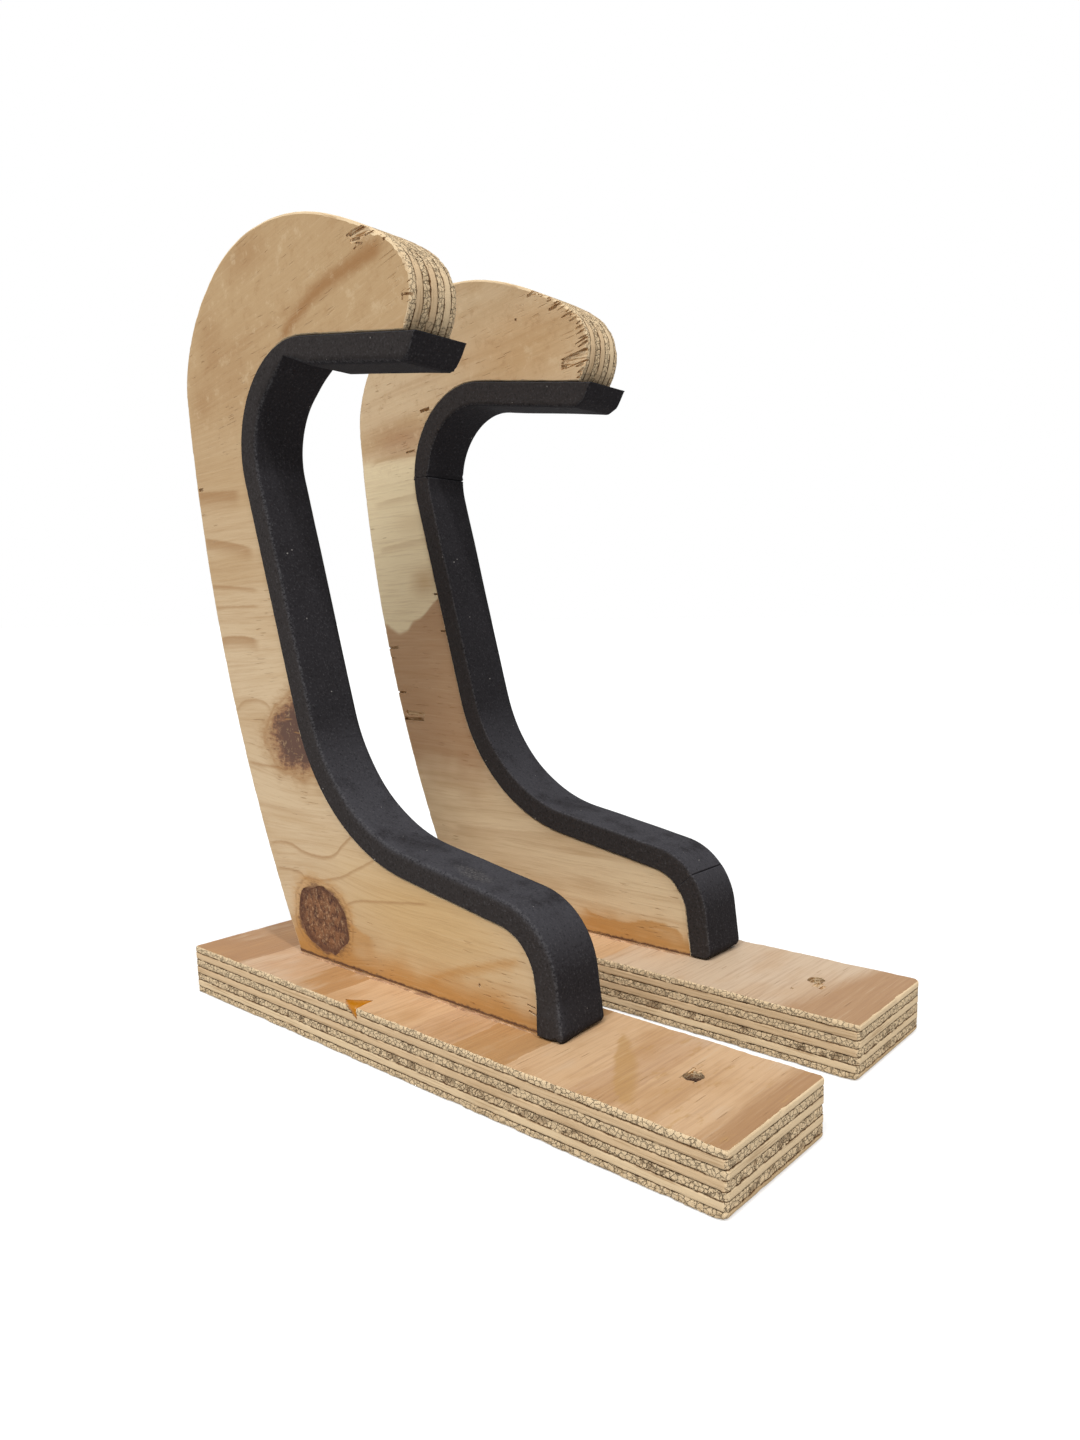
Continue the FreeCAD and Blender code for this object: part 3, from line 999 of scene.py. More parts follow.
def make_plate(side, wood):
    """Plywood base plate with its ragged wall hole and the screws' countersunk bores."""
    place = plate_place(side)
    outline = Outline(side + "_base_plate", place, Z_AXIS, PLATE_CUT, wood.step / MM)
    top, bottom = plate_wear(side, outline)
    edge = SawnEdge(outline, wood, PLATE_GRAINS, PLATE_PLIES, top, bottom, PLATE_SEEDS[side])
    face = face_frame(Y_AXIS, -X_AXIS, Z_AXIS * (outline.low + outline.depth))
    outline.stack(ply_levels(outline.depth, from_top=True), edge.shape)
    materials = [plate_top_finish(side, place, wood), plate_edge_finish(side, place, outline, wood)]
    plate = set_down(side + "_base_plate_dressed", outline.mesh, place, materials)
    hollows = bmesh.new()
    add_wall_hole(hollows, side, outline.depth)
    add_screw_bores(hollows, side, place)
    torn = torn_finish(side + "_plate", place, PLATE_FIBRES, outline.depth - HOLE_SHADE_DEPTH[side], wood)
    carve(plate, finish_cutter(hollows, place, torn))
    carve_tears(plate, PLATE_TEARS[side], face, place, torn)
    settle(plate, side, "plate_plywood", side + "_base_plate")


class FoamLevel(NamedTuple):
    """A level across a strip: how far round a rim it lies, which rim, and its share between the rims."""

    round: float
    side: int
    share: float


FOAM_RIM_STEPS = 6
FOAM_BODY_STEPS = 12


def foam_levels():
    """Levels across a strip: round one rim, over the body and round the other rim."""
    rim = [step / FOAM_RIM_STEPS for step in range(FOAM_RIM_STEPS + 1)]
    body = [FoamLevel(1.0, 0, step / FOAM_BODY_STEPS) for step in range(1, FOAM_BODY_STEPS)]
    near = [FoamLevel(share, -1, 0.0) for share in rim]
    far = [FoamLevel(share, 1, 1.0) for share in reversed(rim)]
    return near + body + far


FOAM_THICKNESS = 9.0

# Strips whose ends lie this near to each other are butted together, below this share of their thickness,
# and each end then reaches over this share of the gap
BUTTED = 0.8
BUTT_BELOW = 0.93
BUTT_REACH = 0.45

# A free corner of a strip's end: least turn between the points this far on both sides of it, and the
# share of the thickness above which it lies
CORNER_TURN = math.radians(50.0)
CORNER_POINTS = 2
CORNER_FROM = 0.85

# Shares of the thickness over which a strip's edges soften, and over which its surface is free of the wood
SOFT_EDGE = (0.55, 0.98)
FREE_FROM_WOOD = (0.3, 0.95)

# Noise of a strip's free face, and of its cut beside the wood, which takes this share of the waviness
FACE_NOISE = Waves(1.0, 17.0)
CUT_NOISE = Waves(0.5, 2.4, 4.0)
CUT_WAVINESS = 0.9

# Seeds of a bracket's strips
FOAM_SEED = 3.0
FOAM_SEED_STEP = 8.0

# Lower end of the near strip: how far up it is bent, how far its near side bulges forward and sideways,
# and how far its far side stands off the plate
TOE_HEIGHT = 13.0
TOE_FLARE = 1.7
TOE_SIDEWAYS = 1.6
TOE_LIFT = 1.8


class FoamStrip:
    """Shape of a foam strip: soft creases on its free side, tight edges on the wood and at a butt seam."""

    def __init__(self, outline, wood_tree, other_trees, crease, end_round, foam, seed):
        self.outline = outline
        self.seed = seed
        self.freedom = []
        self.radius = []
        self.waviness = []
        self.reach = []
        glued = foam.glued_round / MM
        for spot in outline.spots:
            share = wood_tree.find(spot)[2] / FOAM_THICKNESS
            gap = min((tree.find(spot)[2] for tree in other_trees), default=BUTTED)
            butted = gap < BUTTED and share < BUTT_BELOW
            radius = glued + (crease / MM - glued) * soft_step(share, *SOFT_EDGE)
            self.freedom.append(soft_step(share, *FREE_FROM_WOOD))
            self.radius.append(min(radius, foam.butt_round / MM) if butted else radius)
            self.waviness.append(0.0 if butted else foam.waviness / MM)
            self.reach.append(gap * BUTT_REACH if butted else 0.0)
        corners = self.free_corners(wood_tree, other_trees)
        self.corner = []
        for spot in outline.spots:
            away = min(((spot - corner).length for corner in corners), default=FOAM_THICKNESS)
            self.corner.append(round_in(away, end_round / MM))
        low = min(spot.z for spot in outline.spots)
        bent = 0.0 if other_trees else 1.0
        self.toe = [bent * soft_step(low + TOE_HEIGHT - spot.z, 0.0, TOE_HEIGHT) for spot in outline.spots]

    def free_corners(self, wood_tree, other_trees):
        """Places of the corners at a strip's free ends, away from the wood and from other strips."""
        found = []
        outward = self.outline.outward
        for index, spot in enumerate(self.outline.spots):
            before = outward[index - CORNER_POINTS]
            after = outward[(index + CORNER_POINTS) % len(outward)]
            clear = all(tree.find(spot)[2] > BUTTED for tree in other_trees)
            outside = wood_tree.find(spot)[2] > CORNER_FROM * FOAM_THICKNESS
            if clear and outside and before.angle(after) > CORNER_TURN:
                found.append(spot)
        return found

    def shape(self, index, level):
        """Inset, depth and torn share of a point of the strip."""
        radius = self.radius[index]
        bend = level.round * math.pi / 2.0
        rim = radius * (1.0 - math.cos(bend))
        depth = self.outline.depth
        across = {-1: rim, 1: depth - rim, 0: radius + (depth - 2.0 * radius) * level.share}[level.side]
        body = self.outline.spots[index] + self.outline.axis * across
        free = self.freedom[index]
        wave = self.waviness[index] * (1.0 + free * uneven(body, 0.0, [FACE_NOISE], self.seed))
        cut = uneven(body, 0.5, [CUT_NOISE], self.seed)
        ragged = CUT_WAVINESS * self.waviness[index] * (1.0 - free) * cut
        out = self.outline.outward[index]
        toe = self.toe[index]
        near_share = 1.0 - across / depth
        lift = TOE_LIFT * (1.0 - near_share) * max(0.0, -out.z)
        flare = TOE_FLARE * near_share * max(0.0, out.x)
        eased = radius * (1.0 - math.sin(bend))
        inset = eased + wave + ragged + toe * (lift - flare) + self.corner[index] - self.reach[index]
        return inset, across - TOE_SIDEWAYS * toe * near_share, 0.0


# Spacing of the points of an arm that a foam strip is fitted to
WOOD_STEP = 0.5


def make_pads(side, crease, end_round, foam):
    """Foam strips glued round the inside of a hook."""
    place = arm_place(side)
    arm = Outline(side + "_arm", place, Y_AXIS, ARM_CUT, WOOD_STEP)
    wood_tree = arm.tree()
    arm.mesh.free()
    outlines = {node: Outline(node, place, Y_AXIS, FOAM_CUT, foam.step / MM) for node in PADS[side]}
    trees = {node: outline.tree() for node, outline in outlines.items()}
    for number, (node, outline) in enumerate(outlines.items()):
        others = [tree for name, tree in trees.items() if name != node]
        seed = number * FOAM_SEED_STEP + FOAM_SEED
        strip = FoamStrip(outline, wood_tree, others, crease, end_round, foam, seed)
        outline.stack(foam_levels(), strip.shape)
        finish = foam_finish(node, place, foam)
        pad = set_down(node + "_dressed", outline.mesh, place, [finish, finish])
        settle(pad, side, "foam", node)


# Glue pressed out along the foot of an arm's near face: its run along X, half its size, how far out its
# middle lies, the steps over which its ends taper, and how uneven it is
GLUE_FROM = -83.0
GLUE_TO = 40.0
GLUE_STEP = 1.4
GLUE_HALF_WIDTH = 0.75
GLUE_HALF_HEIGHT = 0.3
GLUE_OUT = 0.85
GLUE_SIDES = 10
GLUE_TAPER = (-1.0, 5.0)
GLUE_FILL = 0.75
GLUE_FILL_NOISE = (Waves(0.55, 6.0, 5.0), Waves(0.25, 2.0, 9.0))
GLUE_COURSE_NOISE = Waves(0.3, 9.0, 2.0)

# Turns a circle that lies flat so that it stands across X
ACROSS_X = Matrix(((0, 0, 1), (1, 0, 0), (0, 1, 0)))


def make_glue(side, wood):
    """Uneven bead of glue that was pressed out between an arm and its plate."""
    place = arm_place(side)
    top = (to_metres(place).inverted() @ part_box(side + "_base_plate")[1]).z
    mesh = bmesh.new()
    ring = bmesh.ops.create_circle(mesh, cap_ends=True, segments=GLUE_SIDES, radius=1.0)["verts"]
    bmesh.ops.rotate(mesh, verts=ring, cent=(0, 0, 0), matrix=ACROSS_X)
    faces = mesh.faces[:]
    old_centre, old_width, old_height = Vector(), 1.0, 1.0
    steps = round((GLUE_TO - GLUE_FROM) / GLUE_STEP)
    for step in range(steps + 1):
        if step:
            grown = bmesh.ops.extrude_face_region(mesh, geom=faces)["geom"]
            ring = only(bmesh.types.BMVert, grown)
            faces = only(bmesh.types.BMFace, grown)
        spot = X_AXIS * (GLUE_FROM + step * GLUE_STEP)
        fill = uneven(spot, GLUE_FILL, GLUE_FILL_NOISE) * soft_step(min(step, steps - step), *GLUE_TAPER)
        width = GLUE_HALF_WIDTH * fill
        height = GLUE_HALF_HEIGHT * fill
        course = uneven(spot, arm_face(side) - GLUE_OUT, [GLUE_COURSE_NOISE])
        centre = Vector((spot.x, course, top))
        for vert in ring:
            away = vert.co - old_centre
            vert.co = centre + Vector((0.0, away.y / old_width * width, away.z / old_height * height))
        old_centre, old_width, old_height = centre, width, height
    bead = set_down(side + "_glue_bead", smoothed(mesh), place, [glue_finish(side, place, wood)])
    settle(bead, side, "plate_plywood")


# Resin drop on the near plate: its corners, laid flat past the plate's near edge, how deep it sits in the
# wood, how high its crown stands and how far in from its rim that rises, and its ragged rim
RESIN_CORNERS = ((-28.6, -21.6), (-20.2, -16.6), (-19.0, -28.2))
RESIN_CUTS = 9
RESIN_SUNK = 0.2
RESIN_CROWN = 0.32
RESIN_RISE = (-0.3, 1.6)
RESIN_RIM_NOISE = (Waves(0.45, 1.8, 3.0), Waves(0.45, 1.8, 8.0))


def make_resin(wood):
    """Amber drop of resin on the near plate's top that runs over its edge."""
    place = plate_place("near")
    low, high = (to_metres(place).inverted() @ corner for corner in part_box("near_base_plate"))

    def laid(spot):
        """A flat point, at a height off the wood, laid over the plate's edge."""
        if spot.y > low.y:
            return Vector((spot.x, spot.y, high.z + spot.z))
        return Vector((spot.x, low.y - spot.z, high.z - (low.y - spot.y)))

    mesh = bmesh.new()
    mesh.faces.new([mesh.verts.new((x, y, 0.0)) for x, y in RESIN_CORNERS])
    bmesh.ops.subdivide_edges(mesh, edges=mesh.edges, cuts=RESIN_CUTS, use_grid_fill=True)
    rim = [vert for vert in mesh.verts if vert.is_boundary]
    for vert in rim:
        vert.co += Vector((*(uneven(vert.co, 0.0, [layer]) for layer in RESIN_RIM_NOISE), 0.0))
    inside = [min((vert.co - each.co).length for each in rim) for vert in mesh.verts]
    for vert, away in zip(mesh.verts, inside):
        vert.co.z = RESIN_CROWN * soft_step(away, *RESIN_RISE)
    grown = bmesh.ops.extrude_face_region(mesh, geom=mesh.faces[:])["geom"]
    for vert in only(bmesh.types.BMVert, grown):
        vert.co.z = -RESIN_SUNK
    for vert in mesh.verts:
        vert.co = laid(vert.co)
    drop = set_down("near_resin_drop", smoothed(mesh), place, [resin_finish(place, wood)])
    settle(drop, "near", "plate_plywood")


# Depth that makes an oval run right through the board
THROUGH = 1000.0


class Grain(NamedTuple):
    """A noise: its waves to the millimetre along each axis, its detail, and how rough that is."""

    stretch: tuple
    detail: float
    roughness: float = 0.5


class Tint(NamedTuple):
    """A colour that a value brings in: the values where it starts and is full, its tone, its strength."""

    start: float
    full: float
    tone: str
    strength: float = 1.0


class Nodes:
    """Nodes of a material or of the sky, added by short calls."""

    def __init__(self, tree):
        self.nodes = tree.nodes
        self.links = tree.links

    def feed(self, socket, value):
        """Links a socket to another, or sets its value."""
        if isinstance(value, bpy.types.NodeSocket):
            self.links.new(value, socket)
        elif socket.type == "RGBA":
            socket.default_value = (*value[:3], 1.0)
        else:
            socket.default_value = value

    def add(self, kind, sockets, **settings):
        """Adds a node and feeds its sockets."""
        node = self.nodes.new("ShaderNode" + kind)
        for key, value in settings.items():
            setattr(node, key, value)
        for socket, value in sockets.items():
            self.feed(node.inputs[socket], value)
        return node

    def math(self, operation, first, second=0.0):
        """Works out a value from one or two."""
        return self.add("Math", {0: first, 1: second}, operation=operation).outputs[0]

    def scaled(self, value, *factors):
        """A value times each factor in turn."""
        for factor in factors:
            value = self.math("MULTIPLY", value, factor)
        return value


class Finish(Nodes):
    """A procedural material in colours from the settings."""

    def __init__(self, name, place, tones, roughness, specular):
        self.material = bpy.data.materials.new(name)
        self.material.use_nodes = True
        super().__init__(self.material.node_tree)
        self.shader = self.nodes["Principled BSDF"].inputs
        self.shader["Roughness"].default_value = roughness
        self.shader["Specular IOR Level"].default_value = specular
        self.tones = tones
        self.spot = self.local(place)
        self.base = None

    def local(self, place):
        """Coordinates in a piece's own frame, in millimetres."""
        spot = self.add("TexCoord", {}).outputs["Object"]
        sockets = {
            "Vector": spot,
            "Location": place.to_translation(),
            "Rotation": place.to_euler(),
            "Scale": (MM, MM, MM),
        }
        return self.add("Mapping", sockets, vector_type="TEXTURE").outputs[0]

    def split(self, vector):
        """The three parts of a vector."""
        return self.add("SeparateXYZ", {0: vector}).outputs

    def join(self, x, y, z):
        """A vector of three parts."""
        return self.add("CombineXYZ", {0: x, 1: y, 2: z}).outputs[0]

    def vector(self, operation, first, second=(0.0, 0.0, 0.0)):
        """Works out a vector or a measure from one or two vectors."""
        node = self.add("VectorMath", {0: first, 1: second}, operation=operation)
        return node.outputs["Value" if operation in ("DOT_PRODUCT", "LENGTH") else "Vector"]

    def fade(self, value, low, high):
        """0 at LOW, 1 at HIGH, smooth between."""
        sockets = {"Value": value, "From Min": low, "From Max": high}
        return self.add("MapRange", sockets, interpolation_type="SMOOTHSTEP").outputs[0]

    def band(self, value, rise, fall):
        """1 between two fades of a value."""
        return self.math("MULTIPLY", self.fade(value, *rise), self.fade(value, *fall))

    def noise(self, grain, spot=None):
        """Noise at a spot, or else at the surface's own place."""
        waves = self.vector("MULTIPLY", self.spot if spot is None else spot, grain.stretch)
        sockets = {"Vector": waves, "Scale": 1.0, "Detail": grain.detail, "Roughness": grain.roughness}
        return self.add("TexNoise", sockets).outputs[0]

    def cracks(self, spot, size):
        """Distance from the gaps between cells of SIZE millimetres, as a share of that size."""
        sockets = {"Vector": spot, "Scale": 1.0 / size}
        return self.add("TexVoronoi", sockets, feature="DISTANCE_TO_EDGE").outputs["Distance"]

    def shaken(self, value, rough, reach):
        """A value moved up and down by a noise, by half of REACH at most."""
        return self.math("ADD", value, self.scaled(self.math("SUBTRACT", rough, 0.5), reach))

    def course(self, x, points):
        """Height of a smooth curve through (x, height) points, level past its ends."""
        starts, heights = zip(*points)
        low = min(heights)
        reach = max(max(heights) - low, 1.0)
        run = starts[-1] - starts[0]
        along = self.add("MapRange", {"Value": x, "From Min": starts[0], "From Max": starts[-1]}).outputs[0]
        node = self.add("FloatCurve", {"Value": along})
        shares = [((start - starts[0]) / run, (height - low) / reach) for start, height in points]
        curve = node.mapping.curves[0]
        curve.points[0].location = shares[0]
        curve.points[1].location = shares[-1]
        for share in shares[1:-1]:
            curve.points.new(*share)
        node.mapping.update()
        return self.math("ADD", self.math("MULTIPLY", node.outputs[0], reach), low)

    def mix(self, share, first, second):
        """Blends the second colour over the first."""
        return self.add("Mix", {0: share, 6: first, 7: second}, data_type="RGBA").outputs[2]

    def tone(self, name):
        """A colour of the settings, or a colour as it is."""
        return getattr(self.tones, name) if isinstance(name, str) else name

    def share(self, value, tint):
        """How far a value brings a tint in, from 0 to 1."""
        return self.fade(value, tint.start, tint.full)

    def over(self, base, value, tint, *factors):
        """A colour with a tint over it that a value brings in, times each factor."""
        share = self.scaled(self.share(value, tint), *factors)
        if tint.strength < 1.0:
            share = self.scaled(share, tint.strength)
        return self.mix(share, base, self.tone(tint.tone))

    def lay(self, value, tint, *factors):
        """Lays a tint over the material's colour."""
        self.base = self.over(self.base, value, tint, *factors)

    def ramp(self, value, stops, hard=False):
        """Colours along a value, from (position, tone) pairs."""
        node = self.add("ValToRGB", {"Fac": value})
        ramp = node.color_ramp
        ramp.interpolation = "CONSTANT" if hard else "LINEAR"
        ramp.elements.remove(ramp.elements[1])
        ramp.elements[0].position = stops[0][0]
        ramp.elements[0].color = (*self.tone(stops[0][1])[:3], 1.0)
        for position, tone in stops[1:]:
            ramp.elements.new(position).color = (*self.tone(tone)[:3], 1.0)
        return node.outputs["Color"]

    def oval(self, centre, halves, turn=(0.0, 0.0, 0.0)):
        """Distance from an oval's centre, which is 1 on its rim."""
        sockets = {"Vector": self.spot, "Location": centre, "Rotation": turn, "Scale": halves}
        return self.vector("LENGTH", self.add("Mapping", sockets, vector_type="TEXTURE").outputs[0])

    def patch(self, patch, turn=0.0):
        """Distance from the middle of a knot or zone that runs through the board, which is 1 on its rim."""
        halves = (patch.half_length, THROUGH, patch.half_height)
        return self.oval((patch.x, 0.0, patch.z), halves, (0.0, math.radians(turn), 0.0))

    def bump(self, height, depth):
        """Raises the surface by HEIGHT times DEPTH millimetres."""
        node = self.add("Bump", {"Height": height, "Distance": depth * MM})
        self.feed(self.shader["Normal"], node.outputs[0])

    def done(self):
        """Sets the colour and gives the finished material."""
        self.feed(self.shader["Base Color"], self.base)
        return self.material


class Mark(NamedTuple):
    """A line or streak on an arm's face: its course in (x, z) points, its fades above and below, its look."""

    course: tuple
    above: float
    below: float
    strength: float
    tone: str = "veneer_brown"
    ragged: float = 0.8


class Zone(NamedTuple):
    """A soft patch of colour: its middle, half its length and height, its strength and its tone."""

    x: float
    z: float
    half_length: float
    half_height: float
    strength: float
    tone: str


ARM_MARKS = {
    "near": (
        Mark(
            ((-70, 232), (-57, 239.3), (-45, 243.8), (-32, 246.2), (-17, 248.4)),
            5.0, 4.5, 0.95, ragged=2.5,
        ),
        Mark(((-131, 187.6), (-118, 187), (-103, 186.3)), 1.0, 7.5, 0.65),
        Mark(((-128, 170.7), (-112, 168.6), (-97, 165.8)), 1.0, 6.0, 0.65),
        Mark(((-127, 153.6), (-110, 152.6), (-95, 151.3)), 0.8, 2.0, 0.55),
        Mark(((-127, 145.4), (-95, 145.6)), 0.7, 1.3, 0.5),
        Mark(((-123, 131.8), (-112, 134.4), (-97, 133.1)), 0.9, 6.0, 0.7),
        Mark(((-113.3, 107.5), (-104, 111.3), (-95.8, 111), (-91, 106)), 0.6, 1.8, 0.45),
        Mark(((-108, 87.8), (-92, 87.2), (-77, 88.4)), 0.7, 1.5, 0.55),
        Mark(
            ((-97, 57.8), (-85.6, 59.2), (-75.6, 57.2), (-65.7, 56.7), (-59, 57.9), (-52.5, 62.4), (-45, 68)),
            0.7, 1.7, 0.6,
        ),
        Mark(
            ((-94, 48.6), (-78.7, 49), (-75.5, 47.5), (-57.8, 50), (-45, 55.2), (-34, 60.5)),
            0.6, 1.5, 0.55,
        ),
        Mark(((-52.5, 40.4), (-46, 43.6), (-30, 46.2), (-9, 49.2)), 0.7, 1.2, 0.55),
        Mark(((-8, 24), (8.5, 30.8), (32, 38.5)), 2.4, 3.6, 0.6, "veneer_orange", 3.0),
        Mark(((-56, 37), (-48, 33.5), (-38, 31)), 1.5, 9.0, 0.6, "veneer_orange", 2.5),
    ),
    "far": (
        Mark(((-8, 27), (8.3, 24.6), (25, 27.7), (38, 23)), 1.2, 7.0, 0.75, "veneer_orange", 2.0),
        Mark(((-125, 206), (-108, 208), (-90, 207)), 4.0, 0.8, 0.35),
        Mark(((-124, 190), (-90, 193)), 1.0, 4.0, 0.25),
        Mark(((-122, 171), (-91, 174)), 1.0, 4.0, 0.3),
        Mark(((-118, 118), (-86, 116)), 1.0, 3.0, 0.25),
        Mark(((-112, 86), (-72, 84)), 1.0, 4.0, 0.3),
        Mark(((-80, 52), (-40, 54), (0, 60)), 1.0, 5.0, 0.25),
    ),
}

ARM_ZONES = {
    "near": (
        Zone(-10.0, 44.0, 62.0, 30.0, 0.8, "veneer_amber"),
        Zone(-88.0, 262.0, 16.0, 8.0, 0.42, "veneer_brown"),
        Zone(-114.0, 240.0, 9.0, 12.0, 0.35, "veneer_brown"),
        Zone(-122.0, 218.0, 11.0, 9.0, 0.45, "veneer_brown"),
        Zone(-102.0, 224.0, 24.0, 18.0, 0.3, "veneer_brown"),
        Zone(-76.0, 24.0, 18.0, 9.0, 0.75, "veneer_orange"),
        Zone(-21.0, 249.5, 10.0, 4.0, 0.45, "veneer_brown"),
    ),
    "far": (
        Zone(-106.0, 216.0, 30.0, 9.0, 0.7, "veneer_pink"),
        Zone(-99.0, 181.0, 16.0, 5.0, 0.3, "veneer_tan"), Zone(-95.0, 156.0, 12.0, 8.0, 0.75, "veneer_tan"),
        Zone(-34.0, 240.0, 46.0, 22.0, 0.4, "veneer_orange"),
    ),
}

# Ground of an arm's face, and the wood that it turns into up the column. The far arm's are lighter than the
# near arm's: its wood with painted light that makes up for the shade the near bracket casts on it
GROUND = {"near": "veneer_pale", "far": "veneer_cream"}
GROUND_ABOVE = {"near": Tint(110.0, 240.0, "veneer_tan"), "far": Tint(110.0, 240.0, "veneer_pale")}

# Grain of an arm's face: its roughness and sway, how knots draw it round them and how that falls off
FACE_ROUGH = Grain((0.3, 0.3, 0.5), 4.0, 0.65)
FACE_SWAY = Grain((0.011, 0.2, 0.02), 1.0)
KNOT_PULL = 0.6
KNOT_FALL = -0.45

# Rise of the grain towards each beak, where along the arm it starts from, and over which heights
HEAD_LEAN = {"near": 0.24, "far": 0.16}
HEAD_PIVOT = -70.0
HEAD_RISE = (180.0, 250.0)

# Clouds and bands along the grain
FACE_CLOUDS = Grain((0.012, 0.3, 0.06), 3.0, 0.55)
CLOUD_TINT = Tint(0.42, 0.68, "veneer_tan", 0.7)
FACE_BANDS = Grain((0.006, 0.3, 0.22), 2.0, 0.6)
BAND_TINT = Tint(0.52, 0.75, "veneer_brown", 0.3)

# Far arm's column: border of the pink wood, whitish wood above it, lifted by painted light against the near
# bracket's shade, and pink below it, and where both fade out
PINK_BELOW = ((-118, 133.5), (-102, 140), (-90, 149))
PINK_LOBES = Grain((0.06, 0.2, 0.06), 1.0)
SAP_AND_PAINTED_LIGHT_TINT = Tint(-1.5, 1.5, "veneer_sap_and_painted_light", 0.95)
SAP_UP_TO = (211.0, 204.0)
PINK_TINT = Tint(1.5, -1.5, "veneer_pink", 0.8)
PINK_DOWN_TO = (60.0, 88.0)

# Border of a zone, in shares of its half size, and how far a mark's ends take to fade
ZONE_FADE = (1.2, 0.1)
MARK_END = 3.0

# Orange wood at the foot, and mottled wood on the head
FOOT_LOBES = Grain((0.05, 0.2, 0.07), 2.0)
FOOT_TINT = Tint(33.0, 19.0, "veneer_orange", 0.9)
HEAD_FROM = (185.0, 225.0)
HEAD_MOTTLE = Grain((0.14, 0.3, 0.14), 5.0, 0.75)
HEAD_BROWN = Tint(0.52, 0.7, "veneer_brown", 0.35)
HEAD_CREAM = Tint(0.47, 0.3, "veneer_cream", 0.4)

# Fine fibres, and how strong the brown ones are on the column and how much calmer on the head
FACE_FIBRES = Grain((0.045, 0.8, 1.2), 4.0, 0.7)
FIBRE_BROWN = Tint(0.42, 0.72, "veneer_brown")
FIBRE_PALE = Tint(0.45, 0.25, "veneer_pale", 0.25)
FIBRE_STRENGTH = 0.26
FIBRE_CALM = 0.14

# Noise in and round the knots of an arm's face
KNOT_FAN = Grain((0.22, 0.3, 0.75), 4.0, 0.7)
KNOT_LOBES = Grain((0.1, 0.2, 0.1), 1.0)
KNOT_CURLS = Grain((0.42, 0.3, 0.42), 4.0, 0.75)

# Halo round a sound or crumbled knot, and the faint, broken growth ring, in shares of the knot's half size
SOUND_HALO = Tint(1.5, 0.95, "veneer_brown", 0.75)
CRUMBLED_HALO = Tint(1.5, 0.95, "veneer_orange", 0.75)
RING_TINT = Tint(1.11, 1.17, "veneer_brown", 0.6)
RING_OUT = (1.25, 1.18)
RING_WHOLE = (0.42, 0.56)

# Heart of a knot: its tones from the middle out, on a shortened scale, its flecks and its rim
CRUMBLED_HEART = ((0.0, "knot_brown"), (0.7, "knot_brown"), (0.85, "knot_dark"))
SOUND_HEART = ((0.0, "knot_dark"), (0.6, "knot_dark"), (0.8, "knot_brown"), (1.0, "veneer_brown"))
HEART_SCALE = 0.85
HEART_TAN = Tint(0.56, 0.62, "veneer_tan", 0.4)
HEART_DARK = Tint(0.49, 0.42, "knot_dark", 0.8)
HEART_RIM = (1.15, 0.85)
HEART_STRENGTH = 0.95

# Short dark dashes along the grain, in patches
FACE_DASHES = Grain((0.13, 0.6, 1.9), 1.0)
DASH_TINT = Tint(0.67, 0.74, "veneer_brown", 0.65)
DASH_PATCHES = Grain((0.022, 0.3, 0.026), 1.0)
DASH_WITHIN = (0.44, 0.6)

# Painted shade in the gap where an arm's foot meets its plate: how high it reaches, and its strength
JOINT_SHADE_HEIGHT = 1.5
JOINT_SHADE_STRENGTH = 0.9

# Share of fibres in the relief of a veneer, and how deep that is
FIBRE_RELIEF = 0.6
VENEER_RELIEF = 0.14


